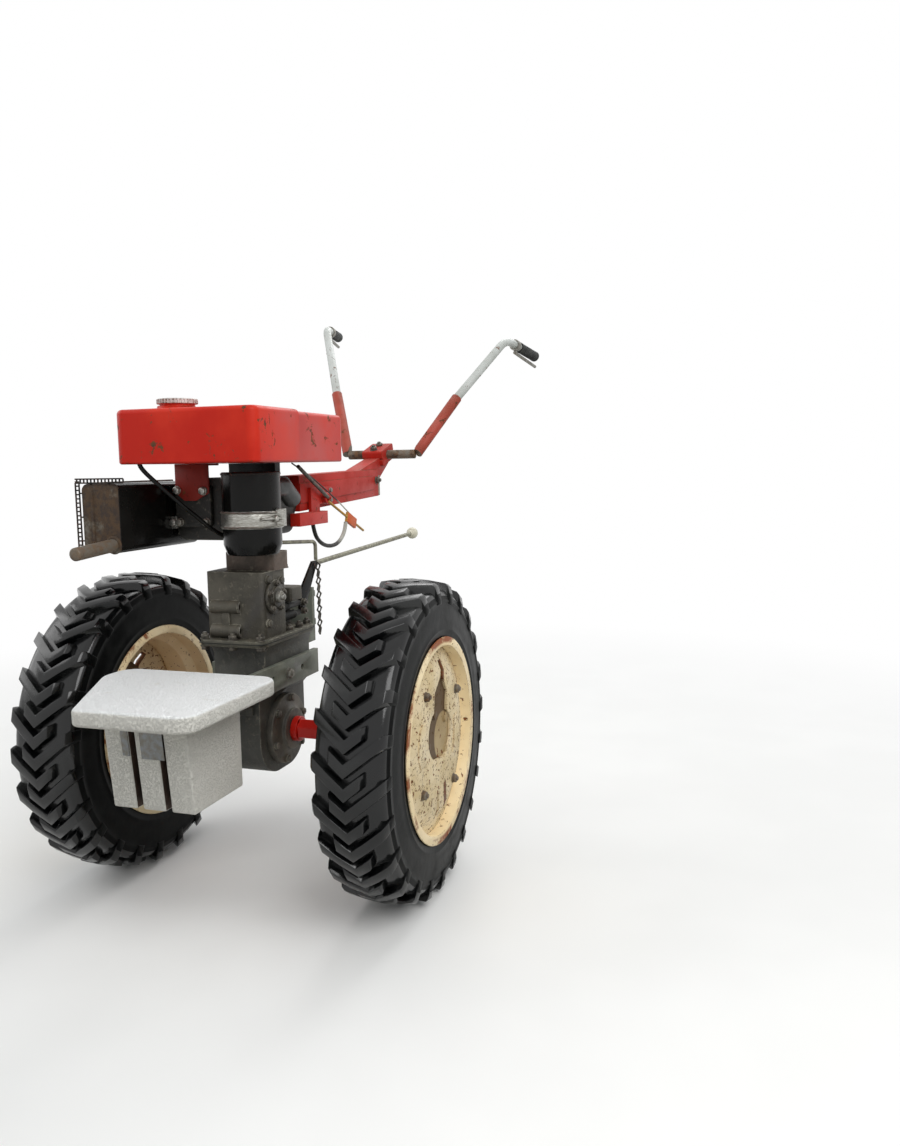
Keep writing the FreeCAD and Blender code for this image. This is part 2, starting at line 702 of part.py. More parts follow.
def final_drive():
    """The lower cast housing: narrow round the axle, wider under the flange."""
    half = DRIVE_WIDTH / 2.0
    wide = DRIVE_UPPER_WIDTH / 2.0
    top = FLANGE_TOP - 2.0 * FLANGE_LAYER
    rear = -DRIVE_HALF_LENGTH
    edges = []
    for side in (1, -1):
        flare_foot = V(rear, side * wide, top - DRIVE_FLARE_HEIGHT)
        bow_height = top - DRIVE_FLARE_HEIGHT * (1.0 - DRIVE_FLARE_BOW_HEIGHT)
        flare_middle = V(rear, side * (wide + DRIVE_FLARE * DRIVE_FLARE_BOW), bow_height)
        flare_top = V(rear, side * (wide + DRIVE_FLARE), top)
        corners = [V(rear, 0, DRIVE_BOTTOM), V(rear, side * half, DRIVE_BOTTOM),
                   V(rear, side * half, DRIVE_NARROW_TOP), V(rear, side * wide, DRIVE_WIDE_BOTTOM),
                   flare_foot]
        for here, there in zip(corners, corners[1:]):
            edges.append(Part.LineSegment(here, there).toShape())
        edges.append(Part.Arc(flare_foot, flare_middle, flare_top).toShape())
        edges.append(Part.LineSegment(flare_top, V(rear, 0, top)).toShape())
    section = Part.Face(Part.Wire(Part.__sortEdges__(edges)))
    body = section.extrude(V(2.0 * DRIVE_HALF_LENGTH, 0, 0)).removeSplitter()
    low = []
    for edge in along(body.Edges, V(0, 1, 0)):
        if edge.CenterOfMass.z < 0:
            low.append(edge)
    body = body.makeFillet(DRIVE_CORNER, low)
    depth = STUB_LENGTH - BEARING_WALL - BEARING_BOSS_LENGTH + RUNNING_GAP
    for side in (1, -1):
        inner = V(0, side * (half - depth), 0)
        body = body.cut(rod(inner, V(0, side * half, 0), STUB_RADIUS + SHAFT_GAP))
    return body


def bearing_flange(side):
    """The round cover over the axle bearing."""
    face = DRIVE_WIDTH / 2.0
    outer = face + BEARING_WALL
    body = rod(V(0, side * face, 0), V(0, side * outer, 0), BEARING_RADIUS)
    body = body.fuse(Part.makeCone(
        BEARING_CONE_RADIUS, BEARING_BOSS_RADIUS, BEARING_CONE_RISE, V(0, side * outer, 0), V(0, side, 0)
    ))
    body = body.fuse(
        rod(V(0, side * outer, 0), V(0, side * (outer + BEARING_BOSS_LENGTH), 0), BEARING_BOSS_RADIUS)
    )
    bore_end = V(0, side * (outer + BEARING_BOSS_LENGTH), 0)
    return body.cut(rod(V(0, side * face, 0), bore_end, STUB_RADIUS + SHAFT_GAP))


def flange_plate():
    """The bolted joint between final drive and gearbox."""
    half = FLANGE_WIDTH / 2.0
    bottom = FLANGE_TOP - 2.0 * FLANGE_LAYER
    span = (FLANGE_REAR, FLANGE_FRONT)
    return round_block(span, (-half, half), (bottom, FLANGE_TOP), FLANGE_CORNER, V(0, 0, 1))


def gearbox_case():
    """The upper gearbox box at the front, with its two cross bosses."""
    half = BOX_WIDTH / 2.0
    body = round_block(
        (BOX_REAR, BOX_FRONT), (-half, half), (FLANGE_TOP, BOX_TOP), BOX_CORNER, V(0, 0, 1)
    )
    centre = BOX_FRONT + BOSS_STAND - BOSS_RADIUS
    start = -half + BOSS_START
    for height in (UPPER_BOSS_HEIGHT, LOWER_BOSS_HEIGHT):
        left = V(centre, start + BOSS_LENGTH, height)
        body = body.fuse(rod(V(centre, start, height), left, BOSS_RADIUS))
        bore_start = V(centre, left.y - BOSS_BORE_DEPTH, height)
        body = body.cut(rod(bore_start, left, BOSS_BORE_RADIUS))
    return body.removeSplitter()


def side_cover():
    """The round cover on the gearbox's left side."""
    wall = BOX_WIDTH / 2.0 + SEAT_GAP
    centre = V(SIDE_COVER_X, wall, SIDE_COVER_Z)
    plate = rod(centre, centre + V(0, SIDE_COVER_WALL, 0), SIDE_COVER_RADIUS)
    dome_start = centre + V(0, SIDE_COVER_WALL, 0)
    return plate.fuse(rod(dome_start, dome_start + V(0, SIDE_COVER_WALL, 0), SIDE_COVER_DOME_RADIUS))


def rear_case():
    """The rear casting of the gearbox, which carries the levers."""
    span = (REAR_CASE_REAR, BOX_REAR - SEAT_GAP)
    sides = (REAR_CASE_RIGHT, REAR_CASE_LEFT)
    return round_block(span, sides, (FLANGE_TOP, REAR_CASE_TOP), BOX_CORNER, V(0, 0, 1))


def selector_housing():
    """The small housing of the shift rods on the rear casting."""
    span = (SELECTOR_REAR, SELECTOR_REAR + SELECTOR_LENGTH)
    foot = REAR_CASE_TOP + SEAT_GAP
    return round_block(span, (REAR_CASE_LEFT - SELECTOR_LENGTH / 2.0, SELECTOR_LEFT),
                       (foot, foot + SELECTOR_HEIGHT), SELECTOR_CORNER, V(0, 0, 1))


def neck():
    """The casting between gearbox and crankcase."""
    base = round_block(
        (NECK_REAR, NECK_FRONT), (NECK_RIGHT, NECK_LEFT), (BOX_TOP, CLEANER_BOTTOM - SEAT_GAP),
        NECK_CORNER, V(0, 0, 1)
    )
    head = block((NECK_REAR, NECK_HEAD_FRONT), (NECK_RIGHT, ENGINE_LEFT - NECK_CORNER),
                 (BOX_TOP + NECK_CORNER, ENGINE_BOTTOM))
    return base.fuse(head).removeSplitter()


def rail_hole_places(front):
    """The hole centres of a side rail that ends at front, along X."""
    places = []
    x = RAIL_REAR + RAIL_FIRST_HOLE
    while x < front - RAIL_HOLE_RADIUS * 2.0:
        places.append(x)
        x += RAIL_HOLE_SPACING
    return places


def side_rail(side):
    """A flat steel bar with bolt holes, on a pad at the side of the final drive."""
    front = RAIL_FRONT_LEFT if side > 0 else RAIL_FRONT_RIGHT
    wall = DRIVE_UPPER_WIDTH / 2.0
    inner = wall + RAIL_PAD_WALL
    outer = inner + RAIL_WALL
    top = RAIL_BOTTOM + RAIL_HEIGHT
    middle = RAIL_BOTTOM + RAIL_HEIGHT / 2.0
    bar = block((RAIL_REAR, front), (side * inner, side * outer), (RAIL_BOTTOM, top))
    pad_front = min(front, DRIVE_HALF_LENGTH) - RAIL_PAD_INSET
    pad_rear = RAIL_PAD_INSET - DRIVE_HALF_LENGTH
    pad = block((pad_rear, pad_front), (side * wall, side * inner),
                (RAIL_BOTTOM + RAIL_PAD_INSET, top - RAIL_PAD_INSET))
    rail = bar.fuse(pad)
    for x in rail_hole_places(front):
        start = V(x, side * wall, middle)
        rail = rail.cut(rod(start, V(x, side * outer, middle), RAIL_HOLE_RADIUS))
    return rail.removeSplitter()


def hitch_bracket():
    """Upright plate with two arms to the gearbox and two lugs for the hitch pin."""
    half = CLEVIS_WIDTH / 2.0
    plate_front = HITCH_PLATE_X + HITCH_PLATE_WALL
    plate = block((HITCH_PLATE_X, plate_front), (-half, half), (HITCH_PLATE_BOTTOM, HITCH_PLATE_TOP))
    lug_rear = HITCH_PIN_X - CLEVIS_LUG_END
    upper_bottom = CLEVIS_LOWER_LUG_BOTTOM + CLEVIS_LUG_WALL + CLEVIS_GAP
    for bottom in (CLEVIS_LOWER_LUG_BOTTOM, upper_bottom):
        top = bottom + CLEVIS_LUG_WALL
        lug = block((HITCH_PIN_X, HITCH_PLATE_X), (-CLEVIS_LUG_END, CLEVIS_LUG_END), (bottom, top))
        tip = V(HITCH_PIN_X, 0, bottom)
        lug = lug.fuse(rod(tip, V(HITCH_PIN_X, 0, top), HITCH_PIN_X - lug_rear))
        lug = lug.cut(rod(tip, V(HITCH_PIN_X, 0, top), HITCH_PIN_RADIUS))
        plate = plate.fuse(lug)
    arm_front = -DRIVE_HALF_LENGTH - SEAT_GAP
    for side in (1, -1):
        arm = block((arm_front, plate_front), (side * half, side * (half - HITCH_PLATE_WALL)),
                    (HITCH_PLATE_BOTTOM, FLANGE_TOP - 2.0 * FLANGE_LAYER - SEAT_GAP))
        plate = plate.fuse(arm)
    return plate.removeSplitter()


def weight_cap():
    """The cap of the ballast weight: its right front corner is slanted off."""
    half = CAP_WIDTH / 2.0
    bottom = CAP_HEIGHT - CAP_WALL
    corners = (
        (CAP_REAR, -half, CAP_CORNER),
        (CAP_FRONT - CAP_SLANT_LENGTH, -half, CAP_SLANT_CORNER),
        (CAP_FRONT, -half + CAP_SLANT_WIDTH, CAP_CORNER / 2.0),
        (CAP_FRONT, half, CAP_CORNER),
        (CAP_REAR, half, CAP_CORNER),
    )
    body = prism([V(x, y, bottom) for x, y, radius in corners], V(0, 0, CAP_WALL))
    for x, y, radius in corners:
        corner = []
        for edge in along(body.Edges, V(0, 0, 1)):
            if edge.CenterOfMass.distanceToPoint(V(x, y, bottom + CAP_WALL / 2.0)) < 1e-6:
                corner.append(edge)
        body = body.makeFillet(radius, corner)
    return body


def weight_slots():
    """The y ranges of the two slots in the weight's front."""
    half = WEIGHT_WIDTH / 2.0
    left_start = -half + FINGER_RIGHT
    right_start = left_start + SLOT_SPACING
    return [(left_start, left_start + SLOT_WIDTH), (right_start, right_start + SLOT_WIDTH)]


def weight_body():
    """The tapered block under the cap, split by slots into three fingers."""
    half = WEIGHT_WIDTH / 2.0
    top = CAP_HEIGHT - CAP_WALL - SEAT_GAP
    outline = [
        V(WEIGHT_REAR, -half, WEIGHT_BOTTOM),
        V(WEIGHT_FRONT - WEIGHT_RAKE, -half, WEIGHT_BOTTOM),
        V(WEIGHT_FRONT, -half, top),
        V(WEIGHT_REAR, -half, top),
    ]
    body = prism(outline, V(0, WEIGHT_WIDTH, 0))
    for low, high in weight_slots():
        slot = block((WEIGHT_FRONT - SLOT_DEPTH, WEIGHT_FRONT + CUT_MARGIN), (low, high),
                     (WEIGHT_BOTTOM - CUT_MARGIN, top + CUT_MARGIN))
        body = body.cut(slot)
    return body


def weight_carrier():
    """Bracket on the final drive's front that holds the weight."""
    front = WEIGHT_REAR - SEAT_GAP
    rear = DRIVE_HALF_LENGTH + SEAT_GAP
    half = DRIVE_WIDTH / 2.0 - CARRIER_ARM_WALL
    top = CAP_HEIGHT - CAP_WALL - CARRIER_DROP
    bottom = top - CARRIER_ARM_HEIGHT
    height = (bottom - CARRIER_PLATE_DROP, top)
    body = block((rear, rear + CARRIER_ARM_WALL), (-half, half), height)
    body = body.fuse(block((front - CARRIER_ARM_WALL, front), (-half, half), height))
    for side in (1, -1):
        arm = block((rear, front), (side * half, side * (half - CARRIER_ARM_WALL)), (bottom, top))
        body = body.fuse(arm)
    return body.removeSplitter()


def engine_block():
    """Crankcase and cylinder as one plain block on the neck."""
    body = round_block(
        (ENGINE_REAR, ENGINE_FRONT), (ENGINE_RIGHT, ENGINE_LEFT),
        (ENGINE_BOTTOM + SEAT_GAP, ENGINE_TOP), ENGINE_CORNER, V(1, 0, 0)
    )
    clear = CLEANER_RADIUS + CLEANER_BAND_WALL + RUNNING_GAP
    notch = rod(V(CLEANER_X, CLEANER_Y, CLEANER_BOTTOM - CUT_MARGIN),
                V(CLEANER_X, CLEANER_Y, TANK_BOTTOM), clear)
    return body.cut(notch)


def cover_bolt_places():
    """The four bolts of the engine's front cover as (y, z)."""
    y0 = ENGINE_RIGHT + COVER_BOLT_FIRST_Y
    z0 = ENGINE_BOTTOM + COVER_BOLT_FIRST_Z
    places = []
    for y in (y0, y0 + COVER_BOLT_SPACING_Y):
        for z in (z0, z0 + COVER_BOLT_SPACING_Z):
            places.append((y, z))
    return places


def engine_cover():
    """The bolted cover on the engine's front, with its bolt heads."""
    front = ENGINE_FRONT + SEAT_GAP
    places = cover_bolt_places()
    ys = [y for y, z in places]
    zs = [z for y, z in places]
    margin = COVER_MARGIN
    body = round_block(
        (front, front + COVER_WALL), (min(ys) - margin, max(ys) + margin),
        (min(zs) - margin, max(zs) + margin), COVER_CORNER, V(1, 0, 0)
    )
    clear = CLEANER_RADIUS + CLEANER_BAND_WALL + SEAT_GAP
    body = body.cut(
        rod(V(CLEANER_X, CLEANER_Y, CLEANER_BOTTOM - CUT_MARGIN),
            V(CLEANER_X, CLEANER_Y, TANK_BOTTOM), clear)
    )
    return body


def fan_cowl():
    """The round fan housing behind the engine."""
    centre_y = (ENGINE_LEFT + ENGINE_RIGHT) / 2.0
    centre_z = (ENGINE_BOTTOM + ENGINE_TOP) / 2.0 + COWL_RISE
    start = ENGINE_REAR - SEAT_GAP
    body = rod(V(start, centre_y, centre_z), V(start - COWL_LENGTH, centre_y, centre_z), COWL_RADIUS)
    keep = block((start - COWL_LENGTH, start), (centre_y - COWL_RADIUS, centre_y + COWL_RADIUS),
                 (ENGINE_BOTTOM - COWL_TRIM, TANK_BOTTOM - RUNNING_GAP))
    return body.common(keep)


def cleaner_can():
    """The upper canister of the air cleaner."""
    foot = V(CLEANER_X, CLEANER_Y, CLEANER_BAND_TOP - CLEANER_JOINT_DROP)
    return rod(foot, V(CLEANER_X, CLEANER_Y, CLEANER_TOP), CLEANER_RADIUS)


def cleaner_bowl():
    """The oil bowl of the air cleaner."""
    foot = V(CLEANER_X, CLEANER_Y, CLEANER_BOTTOM)
    top = CLEANER_BAND_TOP - CLEANER_JOINT_DROP - SEAT_GAP
    bottom_radius = CLEANER_RADIUS - CLEANER_TAPER
    cone = Part.makeCone(bottom_radius, CLEANER_RADIUS, CLEANER_TAPER_HEIGHT, foot)
    barrel = rod(foot + V(0, 0, CLEANER_TAPER_HEIGHT), V(CLEANER_X, CLEANER_Y, top), CLEANER_RADIUS)
    return cone.fuse(barrel).removeSplitter()


def cleaner_band():
    """The clamp band round the air cleaner's joint, with its latch."""
    inner = CLEANER_RADIUS + SEAT_GAP
    outer = inner + CLEANER_BAND_WALL
    foot = V(CLEANER_X, CLEANER_Y, CLEANER_BAND_BOTTOM)
    top = V(CLEANER_X, CLEANER_Y, CLEANER_BAND_TOP)
    band = ring(foot, top, outer, inner)
    latch = block((CLEANER_X - LATCH_WIDTH / 2.0, CLEANER_X + LATCH_WIDTH / 2.0),
                  (CLEANER_Y + inner + SEAT_GAP, CLEANER_Y + outer + LATCH_STAND),
                  (CLEANER_BAND_BOTTOM + LATCH_RISE, CLEANER_BAND_TOP + LATCH_RISE))
    return band.fuse(latch).removeSplitter()


def intake_elbow():
    """The rubber elbow from the air cleaner back to the carburettor."""
    wall = CLEANER_X - CLEANER_RADIUS
    height = CLEANER_TOP - 1.6 * ELBOW_RADIUS
    y = CLEANER_Y + CLEANER_RADIUS / 5.0
    points = [
        V(wall - SEAT_GAP, y, height),
        V(wall - ELBOW_RUN, y, height),
        V(wall - ELBOW_REACH, CLEANER_Y, height - ELBOW_FALL),
    ]
    return bent_bar(points, [ELBOW_BEND], ELBOW_RADIUS)


def muffler():
    """The pressed box of the muffler."""
    return round_block(
        (MUFFLER_REAR, MUFFLER_FRONT), (MUFFLER_RIGHT, MUFFLER_LEFT),
        (MUFFLER_BOTTOM, MUFFLER_TOP), MUFFLER_CORNER, V(1, 0, 0)
    )


def tailpipe():
    """The tailpipe on the muffler's front."""
    y = MUFFLER_LEFT - TAILPIPE_RADIUS
    z = MUFFLER_BOTTOM + TAILPIPE_RADIUS + TAILPIPE_RISE
    run = V(TAILPIPE_LENGTH, 0, -TAILPIPE_DROP)
    tilt = TAILPIPE_RADIUS * TAILPIPE_DROP / TAILPIPE_LENGTH
    start = V(MUFFLER_FRONT + SEAT_GAP + tilt, y, z)
    return rod(start, start + run, TAILPIPE_RADIUS)


def exhaust_stub():
    """The short pipe and flange between engine and muffler."""
    x = (MUFFLER_REAR + ENGINE_FRONT) / 2.0 - EXHAUST_STUB_SHIFT
    z = (ENGINE_BOTTOM + ENGINE_TOP) / 2.0
    start = V(x, ENGINE_RIGHT - SEAT_GAP, z)
    return rod(start, V(x, MUFFLER_LEFT + SEAT_GAP, z), EXHAUST_STUB_RADIUS)


def fuel_tank():
    """The pressed tank: a wide front part and a narrower rear part."""
    half = TANK_WIDTH / 2.0
    rear_half = TANK_REAR_WIDTH / 2.0
    step = half - rear_half
    outline = [
        V(TANK_FRONT, -half, TANK_BOTTOM),
        V(TANK_FRONT, half, TANK_BOTTOM),
        V(TANK_STEP + step, half, TANK_BOTTOM),
        V(TANK_STEP - step, rear_half, TANK_BOTTOM),
        V(TANK_REAR, rear_half, TANK_BOTTOM),
        V(TANK_REAR, -rear_half, TANK_BOTTOM),
        V(TANK_STEP - step, -rear_half, TANK_BOTTOM),
        V(TANK_STEP + step, -half, TANK_BOTTOM),
    ]
    body = prism(outline, V(0, 0, TANK_TOP - TANK_BOTTOM))
    corners = []
    for edge in along(body.Edges, V(0, 0, 1)):
        if abs(edge.CenterOfMass.x - TANK_STEP) > 2.0 * step:
            corners.append(edge)
    body = body.makeFillet(TANK_CORNER, corners)
    for height, radius in ((TANK_TOP, TANK_EDGE), (TANK_BOTTOM, TANK_EDGE / 2.0)):
        rim_edges = []
        for edge in body.Edges:
            if abs(edge.BoundBox.ZMin - height) < 1e-6 and abs(edge.BoundBox.ZMax - height) < 1e-6:
                rim_edges.append(edge)
        body = body.makeFillet(radius, rim_edges)
    neck_foot = V(FILLER_X, FILLER_Y, TANK_TOP - FILLER_HEIGHT / 4.0)
    filler = rod(neck_foot, V(FILLER_X, FILLER_Y, TANK_TOP + FILLER_HEIGHT), FILLER_RADIUS)
    return body.fuse(filler).removeSplitter()


def fuel_cap():
    """The round cap on the filler neck."""
    foot = V(FILLER_X, FILLER_Y, TANK_TOP + FILLER_HEIGHT + SEAT_GAP)
    return rod(foot, foot + V(0, 0, FUEL_CAP_HEIGHT), FUEL_CAP_RADIUS)


def tank_bracket_front():
    """The red shield-shaped plate that holds the tank's front on the engine cover."""
    front = ENGINE_FRONT + COVER_WALL + 2.0 * SEAT_GAP
    top = TANK_BOTTOM - SEAT_GAP
    places = cover_bolt_places()
    low = min(y for y, z in places) - COVER_MARGIN / 2.0
    high = max(y for y, z in places) + COVER_MARGIN
    bolt_height = max(z for y, z in places)
    outline = [
        V(front, low, top),
        V(front, low, bolt_height - COVER_MARGIN / 2.0),
        V(front, low + 2.0 * COVER_MARGIN, bolt_height - 2.0 * COVER_MARGIN),
        V(front, high - 3.0 * COVER_MARGIN, bolt_height - 2.0 * COVER_MARGIN),
        V(front, high, bolt_height - COVER_MARGIN / 2.0),
        V(front, high, top),
    ]
    plate = prism(outline, V(TANK_BRACKET_WALL, 0, 0))
    foot = block((front - TANK_BRACKET_FOOT, front), (low, high), (top - TANK_BRACKET_WALL, top))
    return plate.fuse(foot).removeSplitter()


def tank_bracket_rear():
    """The strip on the engine that holds up the tank's rear."""
    x = ENGINE_REAR + TANK_STRIP_X
    half = TANK_STRIP_WIDTH / 2.0
    return block((x - half, x + half), (ENGINE_RIGHT + TANK_STRIP_RIGHT, ENGINE_LEFT - TANK_STRIP_LEFT),
                 (ENGINE_TOP + SEAT_GAP, TANK_BOTTOM - SEAT_GAP))


def pitched(shape):
    """Tip a piece at the clamp forward about the cross tube."""
    return shape.rotated(V(CLAMP_X, 0, CLAMP_Z), V(0, 1, 0), CLAMP_PITCH)


def clamp_part(low_z, high_z, grow):
    """A block of the clamp between two heights from the cross tube's centre."""
    half = CLAMP_WIDTH / 2.0 + grow
    shape = round_block(
        (CLAMP_X - CLAMP_LENGTH / 2.0, CLAMP_X + CLAMP_LENGTH / 2.0), (BEAM_Y - half, BEAM_Y + half),
        (CLAMP_Z + low_z, CLAMP_Z + high_z), CLAMP_CORNER, V(0, 1, 0)
    )
    return pitched(shape)


def handle_beam():
    """The pressed beam from the engine back to the handlebar clamp, with the clamp's saddle."""
    start = BEAM_Y - BEAM_WIDTH / 2.0
    bottom = BEAM_TOP - BEAM_HEIGHT
    outline = [
        V(BEAM_FRONT, start, BEAM_TOP - BEAM_RISE),
        V(BEAM_FRONT, start, bottom - 2.0 * BEAM_RISE),
        V(BEAM_REAR, start, bottom),
        V(BEAM_REAR, start, BEAM_TOP),
    ]
    body = prism(outline, V(0, BEAM_WIDTH, 0))
    ridge = [
        V(BEAM_FRONT, start - BEAM_RIDGE, BEAM_TOP - BEAM_RISE - BEAM_HEIGHT / 4.0),
        V(BEAM_FRONT, start - BEAM_RIDGE, bottom - 2.0 * BEAM_RISE + BEAM_HEIGHT / 4.0),
        V(BEAM_REAR + BEAM_HEIGHT / 2.0, start - BEAM_RIDGE, bottom + BEAM_HEIGHT / 4.0),
        V(BEAM_REAR + BEAM_HEIGHT / 2.0, start - BEAM_RIDGE, BEAM_TOP - BEAM_HEIGHT / 4.0),
    ]
    body = body.fuse(prism(ridge, V(0, BEAM_WIDTH + 2.0 * BEAM_RIDGE, 0)))
    neck_start = start + BEAM_WALL
    saddle_bottom = CLAMP_Z - CLAMP_HEIGHT / 2.0 - CLAMP_LENGTH / 2.0 * math.sin(math.radians(CLAMP_PITCH))
    neck_outline = [
        V(BEAM_REAR + 2.0 * BEAM_HEIGHT, neck_start, BEAM_TOP - BEAM_RISE),
        V(BEAM_REAR, neck_start, BEAM_TOP - BEAM_HEIGHT / 2.0),
        V(CLAMP_X - CLAMP_LENGTH / 4.0, neck_start, saddle_bottom + CLAMP_HEIGHT / 4.0),
        V(CLAMP_X - CLAMP_LENGTH / 4.0, neck_start, CLAMP_Z - CLAMP_HEIGHT / 4.0),
        V(CLAMP_X + CLAMP_LENGTH / 2.0, neck_start, CLAMP_Z - CLAMP_HEIGHT / 4.0),
    ]
    body = body.fuse(prism(neck_outline, V(0, BEAM_WIDTH - 2.0 * BEAM_WALL, 0)))
    body = body.fuse(clamp_part(-CLAMP_HEIGHT / 2.0, -CLAMP_SPLIT, 0.0))
    clear = clamp_part(-CLAMP_SPLIT, CLAMP_HEIGHT, CLAMP_WIDTH)
    body = body.cut(clear)
    tube_low = V(CLAMP_X, BEAM_Y - CLAMP_WIDTH, CLAMP_Z)
    tube_high = V(CLAMP_X, BEAM_Y + CLAMP_WIDTH, CLAMP_Z)
    return body.cut(rod(tube_low, tube_high, CROSS_TUBE_RADIUS + SHAFT_GAP)).removeSplitter()


def clamp_block():
    """The cap that grips the handlebar's cross tube on the beam's saddle."""
    body = clamp_part(SEAT_GAP - CLAMP_SPLIT, CLAMP_HEIGHT / 2.0, 0.0)
    tube_low = V(CLAMP_X, BEAM_Y - CLAMP_WIDTH, CLAMP_Z)
    tube_high = V(CLAMP_X, BEAM_Y + CLAMP_WIDTH, CLAMP_Z)
    return body.cut(rod(tube_low, tube_high, CROSS_TUBE_RADIUS + SHAFT_GAP))


def cross_tube():
    """The tube that turns in the clamp when the handlebar is set to height."""
    return rod(V(CLAMP_X, -CROSS_TUBE_HALF, CLAMP_Z), V(CLAMP_X, CROSS_TUBE_HALF, CLAMP_Z),
               CROSS_TUBE_RADIUS)


def handle_points(side):
    """Named places along a handle's centre line."""
    twist = -HANDLE_TWIST if side > 0 else HANDLE_TWIST

    def swung(reach, angle, y):
        turn = math.radians(angle + twist)
        return V(CLAMP_X - reach * math.cos(turn), side * y, CLAMP_Z + reach * math.sin(turn))

    bend = swung(HANDLE_BEND_REACH, HANDLE_BEND_ANGLE, HANDLE_BEND_Y)
    drop = math.radians(GRIP_DROP_ANGLE - twist)
    splay = math.radians(GRIP_SPLAY)
    run = V(-math.cos(drop) * math.cos(splay), side * math.sin(splay), -math.sin(drop)).normalize()
    return {
        "foot": V(CLAMP_X, side * (CROSS_TUBE_HALF + SEAT_GAP), CLAMP_Z),
        "joint": swung(HANDLE_JOINT_REACH, HANDLE_JOINT_ANGLE, HANDLE_JOINT_Y),
        "bend": bend,
        "grip": bend + run * GRIP_RUN,
        "end": bend + run * (GRIP_RUN + GRIP_LENGTH),
    }


def handle_lower(side):
    """The lower tube of a handle, from the cross tube up to the joint."""
    places = handle_points(side)
    run = (places["joint"] - places["foot"]).normalize()
    lap = HANDLE_LOWER_RADIUS / 4.0
    start = places["foot"] + run * lap + V(0, side * lap, 0)
    tube = rod(start, places["joint"], HANDLE_LOWER_RADIUS)
    gap = CROSS_TUBE_HALF + SEAT_GAP
    reach = HANDLE_JOINT_REACH + HANDLE_LOWER_RADIUS
    far = block((CLAMP_X - reach, CLAMP_X + reach), (side * gap, side * (gap + reach)),
                (CLAMP_Z - reach, CLAMP_Z + reach))
    return tube.common(far)


def handle_upper(side):
    """The upper tube of a handle with its bend back to the grip."""
    places = handle_points(side)
    run = (places["bend"] - places["joint"]).normalize()
    lower_run = (places["joint"] - places["foot"]).normalize()
    start = places["joint"] + run * (SEAT_GAP + HANDLE_UPPER_RADIUS * math.tan(run.getAngle(lower_run)))
    stop = places["grip"]
    return bent_bar([start, places["bend"], stop], [HANDLE_BEND_RADIUS], HANDLE_UPPER_RADIUS)


def grip(side):
    """The rubber grip on the end of a handle."""
    places = handle_points(side)
    run = (places["end"] - places["grip"]).normalize()
    return rod(places["grip"] + run * SEAT_GAP, places["end"], GRIP_RADIUS)


def hand_lever(side):
    """The hand lever under a grip, on a clip round the tube."""
    places = handle_points(side)
    run = (places["end"] - places["grip"]).normalize()
    clip_start = places["grip"] - run * LEVER_CLIP_START
    clip_end = clip_start + run * LEVER_CLIP_LENGTH
    clip = ring(clip_start, clip_end, HANDLE_UPPER_RADIUS + LEVER_WALL, HANDLE_UPPER_RADIUS + SEAT_GAP)
    drop = V(0, 0, -(HANDLE_UPPER_RADIUS + LEVER_DROP))
    blade = rod(clip_start + drop, places["end"] + drop - V(0, 0, LEVER_FALL), LEVER_WALL)
    web_foot = (clip_start + clip_end) / 2.0
    web = rod(web_foot - V(0, 0, HANDLE_UPPER_RADIUS + LEVER_WALL / 2.0), web_foot + drop, LEVER_WALL)
    return clip.fuse(web).fuse(blade).removeSplitter()


def gear_lever():
    """The long shift lever: a flat strap up from its pivot, then a round rod and a knob."""
    knee = V(GEAR_KNEE_X, GEAR_LEVER_Y, GEAR_KNEE_Z)
    end = V(GEAR_KNOB_X, GEAR_LEVER_Y + GEAR_KNOB_SHIFT, GEAR_KNOB_Z)
    stem = rod(knee, end, GEAR_ROD_RADIUS)
    half = GEAR_STRAP_WALL / 2.0
    pivot_x = BOOT_REAR - SEAT_GAP
    outline = [
        V(knee.x - GEAR_ROD_RADIUS, GEAR_LEVER_Y - half, knee.z + GEAR_ROD_RADIUS),
        V(knee.x + GEAR_STRAP_WIDTH, GEAR_LEVER_Y - half, knee.z + GEAR_ROD_RADIUS),
        V(pivot_x, GEAR_LEVER_Y - half, BOOT_Z + 2.0 * BOOT_RADIUS),
        V(pivot_x, GEAR_LEVER_Y - half, BOOT_Z - 2.0 * BOOT_RADIUS),
        V(pivot_x - GEAR_STRAP_WIDTH, GEAR_LEVER_Y - half, BOOT_Z - 2.0 * BOOT_RADIUS),
    ]
    strap = prism(outline, V(0, GEAR_STRAP_WALL, 0))
    return stem.fuse([strap, Part.makeSphere(GEAR_KNOB_RADIUS, end)]).removeSplitter()


def lever_boots():
    """The two rubber boots over the shift rods behind the gearbox."""
    boots = []
    for height in (BOOT_Z, BOOT_Z - BOOT_SPACING):
        front = V(BOX_REAR - SEAT_GAP, GEAR_LEVER_Y, height)
        boots.append(rod(front, V(BOOT_REAR, GEAR_LEVER_Y, height), BOOT_RADIUS))
    return Part.makeCompound(boots)


def lever_stay():
    """The bent rod from the neck's head back and down to the shift lever's knee."""
    foot_y = (NECK_RIGHT + ENGINE_LEFT - NECK_CORNER) / 2.0
    foot = V(NECK_REAR - SEAT_GAP - STAY_RADIUS / 3.0, foot_y, ENGINE_BOTTOM - STAY_DROP)
    corner = V(GEAR_KNEE_X, GEAR_LEVER_Y, foot.z - STAY_FALL)
    end = V(GEAR_KNEE_X, GEAR_LEVER_Y, GEAR_KNEE_Z + GEAR_ROD_RADIUS + FACE_GAP)
    return bent_bar([foot, corner, end], [STAY_BEND], STAY_RADIUS)


